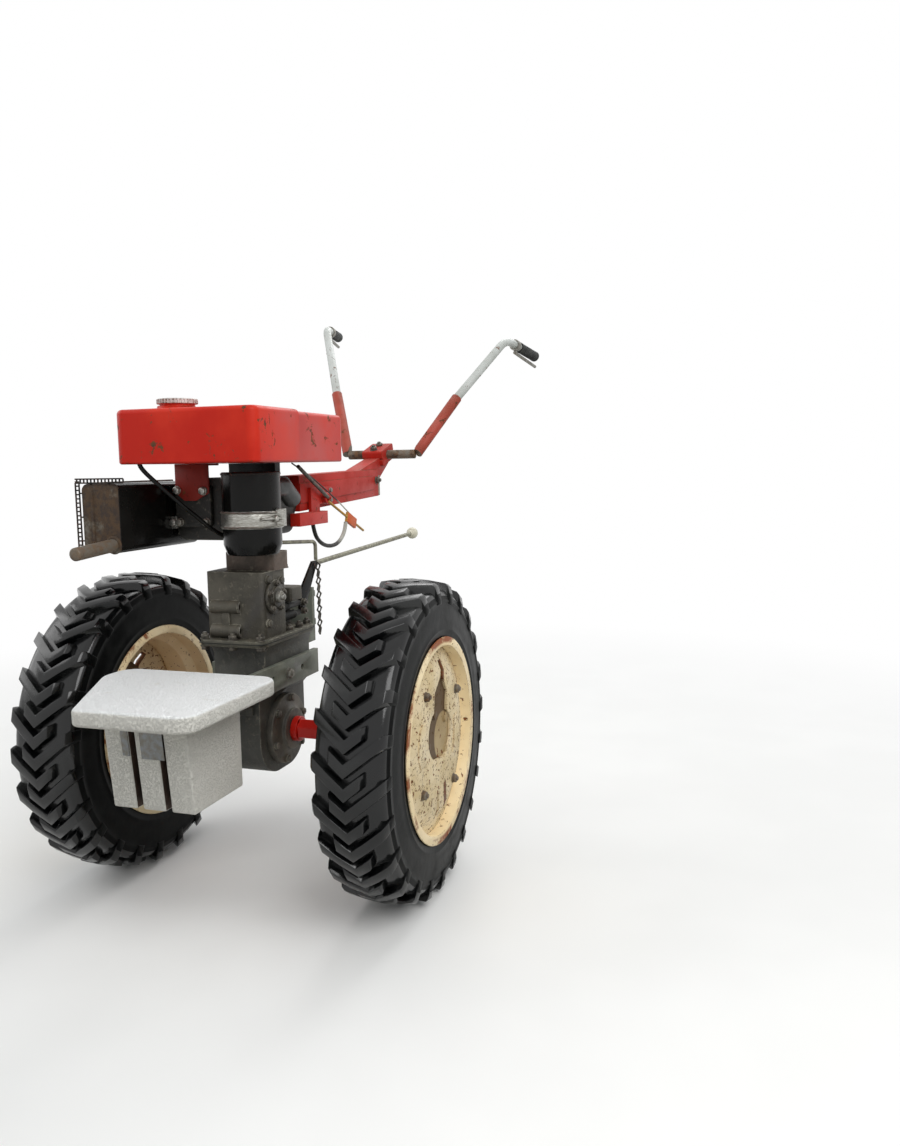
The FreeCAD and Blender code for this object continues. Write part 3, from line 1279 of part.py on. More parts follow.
def control_bracket():
    """The red bracket of the hand controls on the beam's front left side, with its open tray."""
    side = control_side()
    upper = block((CONTROL_X - CONTROL_LENGTH, CONTROL_X), (side, side + CONTROL_WALL),
                  (CONTROL_Z, CONTROL_Z + CONTROL_HEIGHT))
    link = block((TRAY_REAR, CONTROL_X), (side, side + CONTROL_WALL),
                 (TRAY_BOTTOM, CONTROL_Z + TRAY_WALL))
    tray = block((TRAY_REAR, TRAY_FRONT), (TRAY_INNER, TRAY_OUTER),
                 (TRAY_BOTTOM, TRAY_BOTTOM + TRAY_HEIGHT))
    hollow = block((TRAY_REAR + TRAY_WALL, TRAY_FRONT - TRAY_WALL),
                   (side + CONTROL_WALL, TRAY_OUTER - TRAY_WALL),
                   (TRAY_BOTTOM + TRAY_WALL, TRAY_BOTTOM + 2.0 * TRAY_HEIGHT))
    foot = pulley_centre() - V(0, CONTROL_WALL, 0)
    pulley = rod(foot, foot + V(0, CONTROL_WALL, 0), PULLEY_RADIUS)
    return tray.cut(hollow).fuse([upper, link, pulley]).removeSplitter()


def control_side():
    """Where the control bracket lies on the beam's left side."""
    return BEAM_Y + BEAM_WIDTH / 2.0 + BEAM_RIDGE + SEAT_GAP


def pulley_centre():
    """The middle of the throttle pulley's outer face."""
    return V(CONTROL_X - PULLEY_X, control_side() + 2.0 * CONTROL_WALL, CONTROL_Z + PULLEY_RISE)


def throttle_rod():
    """The tube of the throttle from its pulley forward and up under the tank."""
    foot = pulley_centre() + V(0, THROTTLE_RADIUS + SEAT_GAP, 0)
    return rod(foot, V(THROTTLE_FRONT_X, foot.y, THROTTLE_FRONT_Z), THROTTLE_RADIUS)


def choke_wire():
    """The stiff choke wire under the throttle tube, with its flat tag near the end."""
    foot = pulley_centre() + V(0, CHOKE_RADIUS + SEAT_GAP, -THROTTLE_RADIUS - CHOKE_RADIUS - SEAT_GAP)
    end = foot + V(-CHOKE_REACH, 0, -CHOKE_FALL)
    length, wall, width = CHOKE_TAG
    middle = foot + (end - foot) * CHOKE_TAG_PLACE
    half = V(length, wall, width) / 2.0
    low = middle - half
    high = middle + half
    tag = block((low.x, high.x), (low.y, high.y), (low.z, high.z))
    pitch = math.degrees(math.atan2(CHOKE_FALL, CHOKE_REACH))
    tag = tag.rotated(middle, V(0, 1, 0), -pitch)
    return rod(foot, end, CHOKE_RADIUS).fuse(tag).removeSplitter()


def cord(route, radius):
    """A cord along a hand-picked route, in arcs as large as its runs allow."""
    points = [V(*place) for place in route]
    radii = []
    for before, here, after in zip(points, points[1:], points[2:]):
        turn = (here - before).getAngle(after - here)
        shorter = min((here - before).Length, (after - here).Length)
        radii.append(CORD_BEND_SHARE * shorter / math.tan(turn / 2.0))
    return bent_bar(points, radii, radius)


def chain_link(centre, crosswise):
    """One link as a four-sided ring of square bar, its long way upright."""
    rings = []
    for grow in (LINK_WIRE / 2.0, -LINK_WIRE / 2.0):
        tall = LINK_LENGTH / 2.0 + grow
        wide = LINK_WIDTH / 2.0 + grow
        outline = []
        for across, up in ((0, 1), (1, LINK_CORNER), (0, -1), (-1, -LINK_CORNER)):
            outline.append(V(-LINK_WIRE / 2.0, across * wide, up * tall))
        rings.append(prism(outline, V(LINK_WIRE, 0, 0)))
    link = rings[0].cut(rings[1])
    if crosswise:
        link = link.rotated(V(0, 0, 0), V(0, 0, 1), 90.0)
    return link.translated(centre)


def hitch_chain():
    """The chain of the hitch pin, hung up on the shift lever's knee."""
    links = []
    half = (LINK_WIDTH + LINK_WIRE) / 2.0
    top = V(HITCH_PLATE_X - 2.0 * half, GEAR_LEVER_Y + GEAR_STRAP_WALL / 2.0 + half + SEAT_GAP,
            GEAR_KNEE_Z - CHAIN_DROP)
    pitch = LINK_LENGTH - LINK_WIRE - CHAIN_PLAY
    for index in range(CHAIN_LINKS):
        links.append(chain_link(top - V(0, 0, pitch * index), index % 2 == 1))
    return Part.makeCompound(links)


def build():
    os.makedirs("parts", exist_ok=True)
    for name, side in (("left", 1), ("right", -1)):
        publish("tyre_" + name, tyre(side))
        publish("rim_" + name, rim(side))
        publish("wheel_disc_" + name, wheel_disc(side))
        publish("half_axle_" + name, half_axle(side))
        publish("bearing_flange_" + name, bearing_flange(side))
        publish("side_rail_" + name, side_rail(side))
        publish("handle_lower_" + name, handle_lower(side))
        publish("handle_upper_" + name, handle_upper(side))
        publish("grip_" + name, grip(side))
        publish("hand_lever_" + name, hand_lever(side))
    publish("final_drive", final_drive())
    publish("flange_plate", flange_plate())
    publish("gearbox_case", gearbox_case())
    publish("gearbox_rear_case", rear_case())
    publish("engine_neck", neck())
    publish("hitch_bracket", hitch_bracket())
    publish("weight_cap", weight_cap())
    publish("weight_body", weight_body())
    publish("weight_carrier", weight_carrier())
    publish("engine_block", engine_block())
    publish("engine_cover", engine_cover())
    publish("fan_cowl", fan_cowl())
    publish("air_cleaner_can", cleaner_can())
    publish("air_cleaner_bowl", cleaner_bowl())
    publish("air_cleaner_band", cleaner_band())
    publish("intake_elbow", intake_elbow())
    publish("muffler", muffler())
    publish("tailpipe", tailpipe())
    publish("exhaust_stub", exhaust_stub())
    publish("fuel_tank", fuel_tank())
    publish("fuel_cap", fuel_cap())
    publish("tank_bracket_front", tank_bracket_front())
    publish("tank_bracket_rear", tank_bracket_rear())
    publish("handle_beam", handle_beam())
    publish("clamp_block", clamp_block())
    publish("cross_tube", cross_tube())
    publish("side_cover", side_cover())
    publish("selector_housing", selector_housing())
    publish("lever_boots", lever_boots())
    publish("gear_lever", gear_lever())
    publish("lever_stay", lever_stay())
    publish("control_bracket", control_bracket())
    publish("throttle_rod", throttle_rod())
    publish("choke_wire", choke_wire())
    publish("control_strap", cord(STRAP_ROUTE, STRAP_RADIUS))
    publish("throttle_cable", cord(CABLE_ROUTE, CABLE_RADIUS))
    publish("hitch_chain", hitch_chain())


build()
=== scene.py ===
"""The looks of a two-wheeled walking tractor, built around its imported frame.

Places are given in millimetres about the axle's centre, as in the part's source: X runs
forward, Y to the machine's left and Z up. at() turns them into metres in the frame.
"""

import json
import logging
import math
from dataclasses import dataclass, field, replace
from enum import Enum
from typing import Callable, Dict, Iterable, List, Optional, Sequence, Tuple

import bmesh
import bpy
from mathutils import Matrix, Vector


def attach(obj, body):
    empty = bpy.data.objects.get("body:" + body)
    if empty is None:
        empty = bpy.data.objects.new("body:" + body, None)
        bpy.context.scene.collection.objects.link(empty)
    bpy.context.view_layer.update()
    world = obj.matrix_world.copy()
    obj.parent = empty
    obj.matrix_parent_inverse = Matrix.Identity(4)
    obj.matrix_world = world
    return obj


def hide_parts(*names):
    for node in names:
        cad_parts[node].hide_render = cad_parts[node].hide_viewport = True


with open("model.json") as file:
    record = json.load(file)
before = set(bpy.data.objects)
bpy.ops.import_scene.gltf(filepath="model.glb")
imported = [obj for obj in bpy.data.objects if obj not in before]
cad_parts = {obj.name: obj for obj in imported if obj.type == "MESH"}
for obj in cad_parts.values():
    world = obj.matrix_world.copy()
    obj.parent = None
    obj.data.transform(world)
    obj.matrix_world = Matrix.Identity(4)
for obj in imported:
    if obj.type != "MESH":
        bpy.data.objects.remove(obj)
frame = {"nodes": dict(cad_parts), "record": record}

logging.basicConfig(level=logging.INFO, format="%(name)s: %(message)s")
LOG = logging.getLogger("walking_tractor")

Point = Tuple[float, float, float]
Object = bpy.types.Object
Material = bpy.types.Material
Socket = bpy.types.NodeSocket

MM = 0.001
AXLE = Vector((0.225, 0.0, -0.205))
GROUND = -345.0
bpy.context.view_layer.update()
NODE_SLOTS = {row["node"]: row["material_slot"] for row in frame["record"]["subparts"]}
NODE_BODIES = {node: body for body, nodes in frame["record"]["behaviour"]["bodies"].items()
               for node in nodes}


def at(x: float, y: float, z: float) -> Vector:
    """Gives a place in the frame.

    Args:
        x: Millimetres ahead of the axle.
        y: Millimetres to the left of the middle.
        z: Millimetres above the axle.

    Returns:
        The same place in metres in the part's frame.
    """
    return Vector((x, y, z)) * MM + AXLE


class Body(Enum):
    """The bodies that move."""

    CHASSIS = "chassis"
    WHEEL_LEFT = "wheel_left"
    WHEEL_RIGHT = "wheel_right"
    HANDLEBAR = "handlebar"


class Side(Enum):
    """The machine's two sides, with their sign on Y."""

    LEFT = 1
    RIGHT = -1

    @property
    def word(self) -> str:
        """The side's word in a node's name."""
        return self.name.lower()

    @property
    def wheel(self) -> Body:
        """The wheel body on this side."""
        return Body.WHEEL_LEFT if self is Side.LEFT else Body.WHEEL_RIGHT


class Part(Enum):
    """What a test picks in edit mode."""

    EDGE = "EDGE"
    FACE = "FACE"


class Graph:
    """A material's node tree, filled a node at a time."""

    def __init__(self, name: str) -> None:
        """Starts a material with an empty tree.

        Args:
            name: The material's name.
        """
        self.material = bpy.data.materials.new(name)
        self.material.use_nodes = True
        self.tree = self.material.node_tree
        self.tree.nodes.clear()
        self.shader = self.tree.nodes.new("ShaderNodeBsdfPrincipled")
        self.out = self.tree.nodes.new("ShaderNodeOutputMaterial")
        self.join(self.shader.outputs[0], self.out.inputs["Surface"])
        self.spot = self.add("ShaderNodeTexCoord")["Object"]

    def add(self, kind: str, inputs: Optional[Dict[object, object]] = None,
            **values: object) -> Sequence[Socket]:
        """Adds a node.

        Args:
            kind: The node's type.
            inputs: Sockets or plain values for its inputs, by name or number.
            **values: Its properties.

        Returns:
            Its outputs, by name or number.
        """
        made = self.tree.nodes.new(kind)
        for key, value in values.items():
            setattr(made, key, value)
        for key, value in (inputs or {}).items():
            self.feed(made.inputs[key], value)
        return made.outputs

    def join(self, source: Socket, target: Socket) -> None:
        """Links an output to an input."""
        self.tree.links.new(source, target)

    def feed(self, target: Socket, value: object) -> None:
        """Links a socket, or sets a plain value.

        Args:
            target: The input.
            value: A socket, a number or a colour.
        """
        if isinstance(value, bpy.types.NodeSocket):
            self.join(value, target)
        else:
            target.default_value = value

    def noise(self, scale: float, detail: float = 4.0, rough: float = 0.55,
              stretch: Optional[Point] = None, warp: float = 0.0) -> Socket:
        """Adds noise on Object coordinates.

        Args:
            scale: Its scale, in features per metre.
            detail: Octaves.
            rough: How strong the fine octaves are.
            stretch: A scale for each axis, or None.
            warp: Distortion.

        Returns:
            The noise's value.
        """
        spot = self.moved(self.spot, Scale=stretch) if stretch else self.spot
        return self.add("ShaderNodeTexNoise", {
            "Vector": spot, "Scale": scale, "Detail": detail, "Roughness": rough,
            "Distortion": warp})["Fac"]

    def moved(self, vector: Socket, **places: Point) -> Socket:
        """Moves, turns or scales a vector.

        Args:
            vector: The vector.
            **places: Location, Rotation or Scale.

        Returns:
            The new vector.
        """
        return self.add("ShaderNodeMapping", {"Vector": vector, **places})[0]

    def axes(self, vector: Socket) -> Sequence[Socket]:
        """Splits a vector into X, Y and Z."""
        return self.add("ShaderNodeSeparateXYZ", {0: vector})

    def length(self, vector: Socket) -> Socket:
        """Measures a vector."""
        return self.add("ShaderNodeVectorMath", {0: vector}, operation="LENGTH")["Value"]

    def normal(self) -> Socket:
        """The way a surface faces."""
        return self.add("ShaderNodeNewGeometry")["Normal"]

    def span(self, value: Socket, low: float, high: float,
             first: float = 0.0, last: float = 1.0) -> Socket:
        """Maps a range of values to another and clamps it.

        Args:
            value: What is mapped.
            low: The value that gives first.
            high: The value that gives last.
            first: Result at low.
            last: Result at high.

        Returns:
            The mapped value.
        """
        return self.add("ShaderNodeMapRange", {
            "Value": value, "From Min": low, "From Max": high, "To Min": first,
            "To Max": last}, interpolation_type="SMOOTHSTEP")["Result"]

    def sum(self, kind: str, one: object, two: object) -> Socket:
        """Adds a clamped sum of two values.

        Args:
            kind: The operation.
            one: A socket or a number.
            two: A socket or a number.

        Returns:
            The result.
        """
        return self.add("ShaderNodeMath", {0: one, 1: two}, operation=kind, use_clamp=True)[0]

    def mix(self, share: Socket, one: object, two: object) -> Socket:
        """Mixes two colours.

        Args:
            share: How much of the second.
            one: The first colour, a socket or a hex word.
            two: The second colour.

        Returns:
            The mixed colour.
        """
        one, two = (tone(c) if isinstance(c, str) else c for c in (one, two))
        return self.add("ShaderNodeMix", {"Factor": share, 6: one, 7: two},
                        data_type="RGBA")[2]

    def upward(self) -> Socket:
        """How far a surface faces up, from 0 to 1."""
        return self.span(self.axes(self.normal())["Z"], 0.1, 0.95)

    def around_axle(self, start: float, end: float, back: float = 0.0) -> Socket:
        """Rises from 0 to 1 between two distances from the wheels' axis.

        Args:
            start: The distance that gives 0, in metres.
            end: The distance that gives 1.
            back: How far behind the axis the circles are centred.

        Returns:
            The value.
        """
        flat = self.moved(self.spot, Location=(back - AXLE.x, 0, -AXLE.z), Scale=(1, 0, 1))
        return self.span(self.length(flat), start, end)

    def strip(self, turn: float, middle: float, half: float, low: float,
              high: float) -> Socket:
        """Marks a strip beside the axle, upright where its wheel isn't turned.

        Args:
            turn: How far the wheel is turned, from forward towards up.
            middle: The strip's middle ahead of the axle, in metres.
            half: Half its width.
            low: Its foot above the axle.
            high: Its top above the axle.

        Returns:
            1 on the strip and 0 elsewhere.
        """
        soft_side, soft_end = 0.0015, 0.002
        centred = self.moved(self.spot, Location=(-AXLE.x, 0, -AXLE.z))
        split = self.axes(self.moved(centred, Rotation=(0, turn, 0), Location=(-middle, 0, 0)))
        across = self.add("ShaderNodeMath", {0: split["X"]}, operation="ABSOLUTE")[0]
        inside = self.span(across, half, half + soft_side, 1, 0)
        above = self.span(split["Z"], low, low + soft_end)
        below = self.span(split["Z"], high, high + soft_end, 1, 0)
        return self.sum("MULTIPLY", inside, self.sum("MULTIPLY", above, below))

    def edges(self, radius: float) -> Socket:
        """How near a surface point is to a sharp edge.

        Args:
            radius: How far the edge reaches, in metres.

        Returns:
            A value that rises towards edges.
        """
        bevel = self.add("ShaderNodeBevel", {"Radius": radius}, samples=4)[0]
        dot = self.add("ShaderNodeVectorMath", {0: bevel, 1: self.normal()},
                       operation="DOT_PRODUCT")
        return self.span(dot["Value"], 0.985, 0.80)

    def bump(self, *layers: Tuple[Socket, float]) -> None:
        """Stacks heights into the shader's normal.

        Args:
            *layers: Heights with their depths in metres, one or more.
        """
        below: Dict[object, object] = {}
        for height, depth in layers:
            last = self.add("ShaderNodeBump", {"Distance": depth, "Height": height, **below})[0]
            below = {"Normal": last}
        self.join(last, self.shader.inputs["Normal"])

    def close(self, colour: Socket, rough: object, metal: object = 0.0,
              gloss: float = 0.5) -> Material:
        """Feeds the shader and gives the material.

        Args:
            colour: Base colour.
            rough: Roughness.
            metal: Metallic share.
            gloss: Strength of its reflections.

        Returns:
            The finished material.
        """
        for key, value in (("Base Color", colour), ("Roughness", rough), ("Metallic", metal),
                           ("Specular IOR Level", gloss)):
            self.feed(self.shader.inputs[key], value)
        return self.material


def tone(word: str) -> Tuple[float, float, float, float]:
    """Turns a hex colour into linear light.

    Args:
        word: Six hex digits after a hash.

    Returns:
        Red, green, blue and alpha.
    """
    parts = [int(word[i:i + 2], 16) / 255 for i in (1, 3, 5)]
    red, green, blue = (c / 12.92 if c <= 0.04045 else ((c + 0.055) / 1.055) ** 2.4
                        for c in parts)
    return red, green, blue, 1.0


@dataclass(frozen=True)
class WornPaint:
    """Paint on steel: it fades in patches, chips, wears at edges and takes dust."""

    name: str
    paint: str
    faded: str
    under: str = "#4a3a2e"
    dust: str = "#8f8672"
    chips: float = 0.30
    chip_scale: float = 45.0
    patch_scale: float = 7.0
    rough: float = 0.42
    dusting: float = 0.35
    edge: float = 0.0
    lumps: float = 0.0005
    gloss: float = 0.28
    # a circle round the axle, outside which the colour turns to the under colour; on the hub it
    # paints a shadow crescent
    ring: Optional[Tuple[float, float, float]] = None
    rust_ring: Optional[Tuple[float, float]] = None
    strips: Sequence[Tuple[float, float, float, float]] = ()
    turn: float = 0.0

    def build(self) -> Material:
        """Builds the material."""
        g = Graph(self.name)
        patches = g.span(g.noise(self.patch_scale, 5, 0.6), 0.36, 0.66)
        colour = g.mix(patches, self.paint, self.faded)
        fine = g.noise(self.chip_scale, 9, 0.68, warp=0.6)
        edge_at = 0.72 - 0.16 * self.chips
        chips = g.span(fine, edge_at, edge_at + 0.03)
        if self.edge:
            worn = g.sum("MULTIPLY", g.edges(self.edge),
                         g.span(g.noise(self.chip_scale * 0.6, 7, 0.7), 0.42, 0.56))
            chips = g.sum("MAXIMUM", chips, worn)
        rust = g.mix(g.span(g.noise(self.chip_scale * 2, 3), 0.35, 0.65), self.under, "#7a4526")
        colour = g.mix(chips, colour, rust)
        dusty = g.sum("MULTIPLY", g.upward(), g.span(g.noise(16, 6, 0.65), 0.35, 0.75))
        dusty = g.sum("MULTIPLY", dusty, self.dusting)
        colour = g.mix(dusty, colour, self.dust)
        # painted shadow: outside the ring the colour turns to the dark under colour
        if self.ring:
            colour = g.mix(g.around_axle(*self.ring), colour, self.under)
        if self.rust_ring:
            eaten = g.sum("MULTIPLY", g.around_axle(*self.rust_ring),
                          g.span(g.noise(7, 7, 0.7, warp=0.5), 0.50, 0.58))
            colour = g.mix(eaten, colour, "#8a4c26")
        for strip in self.strips:
            colour = g.mix(g.strip(self.turn, *strip), colour, rust)
        rough = g.sum("ADD", g.span(patches, 0, 1, self.rough, self.rough + 0.14),
                      g.span(chips, 0, 1, 0, 0.35))
        g.bump((g.noise(self.patch_scale * 2, 2), self.lumps), (fine, 0.00012),
               (g.span(chips, 0, 1, 1, 0), 0.0004))
        return g.close(colour, rough, 0.0, self.gloss)


@dataclass(frozen=True)
class PebbledPaint:
    """Thick white paint over rough cast metal, with a coarse rolled texture."""

    name: str
    paint: str
    stain: str
    # painted shade: the darker colour that faces which don't look up are mixed towards
    shade: str = "#d0cabb"
    grain: float = 230.0
    depth: float = 0.0011
    rough: float = 0.5
    stains: float = 0.15

    def build(self) -> Material:
        """Builds the material."""
        g = Graph(self.name)
        stains = g.span(g.noise(9, 7, 0.66, warp=0.8), 0.66 - 0.2 * self.stains, 0.82)
        fine = g.noise(self.grain, 3, 0.6)
        colour = g.mix(stains, self.paint, self.stain)
        # painted shade: faces that don't look up are darkened as shade
        colour = g.mix(g.span(g.upward(), 0, 1, 0.6, 0), colour, self.shade)
        pits = g.span(g.noise(self.grain, 4, 0.7), 0.36, 0.56)
        # painted shade: the pits of upright faces are greyed; the pits' bump is real texture
        upright = g.span(g.upward(), 0, 1, 0.16, 0.0)
        colour = g.mix(g.sum("MULTIPLY", g.span(pits, 0, 1, 1, 0), upright), colour, "#a9aaa2")
        g.bump((g.noise(10, 3), 0.004), (pits, self.depth),
               (g.noise(60, 4, 0.6, (0.25, 1, 1)), 0.0012))
        return g.close(colour, g.span(fine, 0.3, 0.7, self.rough - 0.08, self.rough + 0.12), 0.0,
                       0.3)


@dataclass(frozen=True)
class CastMetal:
    """Sand-cast metal, mottled, with oily dirt in patches."""

    name: str
    metal: str
    dark: str
    dirt: str = "#2b2721"
    grain: float = 260.0
    depth: float = 0.0009
    rough: float = 0.58
    shine: float = 0.25
    oil: float = 0.5
    edge: float = 0.0

    def build(self) -> Material:
        """Builds the material."""
        g = Graph(self.name)
        colour = g.mix(g.span(g.noise(11, 6, 0.62), 0.36, 0.64), self.metal, self.dark)
        colour = g.mix(g.span(g.noise(90, 5, 0.7), 0.55, 0.75, 0, 0.5), colour, "#8b8474")
        # lighter at sharp edges: partly rubbed wear, partly a painted edge highlight
        if self.edge:
            worn = g.sum("MULTIPLY", g.edges(self.edge), g.span(g.noise(60, 6, 0.7), 0.4, 0.6))
            colour = g.mix(worn, colour, "#aaa594")
        oily = g.span(g.noise(6, 7, 0.6, warp=1.2), 0.62 - 0.2 * self.oil, 0.72, 0, 0.85)
        colour = g.mix(oily, colour, self.dirt)
        dusty = g.sum("MULTIPLY", g.upward(), g.span(g.noise(20, 6), 0.4, 0.7, 0, 0.35))
        colour = g.mix(dusty, colour, "#857b68")
        g.bump((g.noise(24, 4), 0.0012), (g.noise(self.grain, 4, 0.65), self.depth))
        return g.close(colour, g.span(oily, 0, 0.85, self.rough, self.rough - 0.22),
                       g.span(oily, 0, 0.85, self.shine, 0.0))


@dataclass(frozen=True)
class Rubber:
    """Black rubber, glossy where dressed and grey with dust in places."""

    name: str
    black: str = "#121313"
    dust: str = "#4c4a42"
    dusting: float = 0.3
    rough: float = 0.32
    grain: float = 400.0
    gloss: float = 0.35
    pale: Optional[str] = None
    pale_from: float = 0.0
    pale_to: float = 1.0

    def build(self) -> Material:
        """Builds the material."""
        g = Graph(self.name)
        worn = g.span(g.noise(9, 6, 0.6), 0.4, 0.7)
        colour = g.mix(worn, self.black, "#1d1e1d")
        if self.pale:
            share = g.span(g.axes(g.spot)["X"], self.pale_from, self.pale_to, 0, 0.9)
            colour = g.mix(share, colour, self.pale)
        dusty = g.span(g.noise(26, 8, 0.68, warp=0.7), 0.50, 0.78, 0, self.dusting)
        colour = g.mix(dusty, colour, self.dust)
        g.bump((g.noise(22, 2), 0.0008), (g.noise(self.grain, 3), 0.00015))
        rough = g.sum("ADD", g.span(worn, 0, 1, self.rough, self.rough + 0.14), dusty)
        return g.close(colour, rough, 0.0, self.gloss)


@dataclass(frozen=True)
class BareSteel:
    """Steel with scale, rust and rubbed places."""

    name: str
    steel: str
    rust: str
    rusting: float = 0.5
    rough: float = 0.45
    metal: float = 0.7
    grain: float = 220.0
    brush: Optional[Point] = None

    def build(self) -> Material:
        """Builds the material."""
        g = Graph(self.name)
        tint = g.mix(g.span(g.noise(90, 5, 0.6, self.brush), 0.3, 0.7), self.steel, "#6f6a60")
        rust = g.mix(g.span(g.noise(70, 6, 0.65), 0.4, 0.62), self.rust, "#332821")
        start = 0.70 - 0.36 * self.rusting
        mask = g.span(g.noise(13, 8, 0.66, warp=0.9), start, start + 0.16)
        g.bump((g.noise(self.grain, 5, 0.7), 0.0006), (mask, 0.0003))
        return g.close(g.mix(mask, tint, rust), g.span(mask, 0, 1, self.rough, 0.85),
                       g.span(mask, 0, 1, self.metal, 0.05))


@dataclass(frozen=True)
class Floor:
    """A plain pale floor that keeps the shadow and fades to white far from the machine."""

    name: str = "pale_floor"
    colour: str = "#f2f1ee"
    bounce: str = "#a9a8a3"
    fade_from: float = 1.2
    fade_to: float = 3.4

    def build(self) -> Material:
        """Builds the material."""
        g = Graph(self.name)
        pale = g.mix(g.span(g.noise(3, 2), 0.3, 0.7), self.colour, "#efeeeb")
        material = g.close(g.mix(seen_by_eye(g.tree), self.bounce, pale), 0.9)
        share = g.span(g.length(g.spot), self.fade_from, self.fade_to)
        blend = g.add("ShaderNodeMixShader", {
            0: g.sum("MULTIPLY", share, seen_by_eye(g.tree)), 1: g.shader.outputs[0],
            2: g.add("ShaderNodeEmission")[0]})
        g.join(blend[0], g.out.inputs["Surface"])
        return material


def seen_by_eye(tree: bpy.types.NodeTree) -> Socket:
    """Adds a value that is 1 for what the eye sees, straight, mirrored or through glass.

    Args:
        tree: The node tree.

    Returns:
        The value.
    """
    path = tree.nodes.new("ShaderNodeLightPath")
    last = path.outputs["Is Camera Ray"]
    for word in ("Is Glossy Ray", "Is Transmission Ray"):
        made = tree.nodes.new("ShaderNodeMath")
        made.operation = "MAXIMUM"
        tree.links.new(last, made.inputs[0])
        tree.links.new(path.outputs[word], made.inputs[1])
        last = made.outputs[0]
    return last


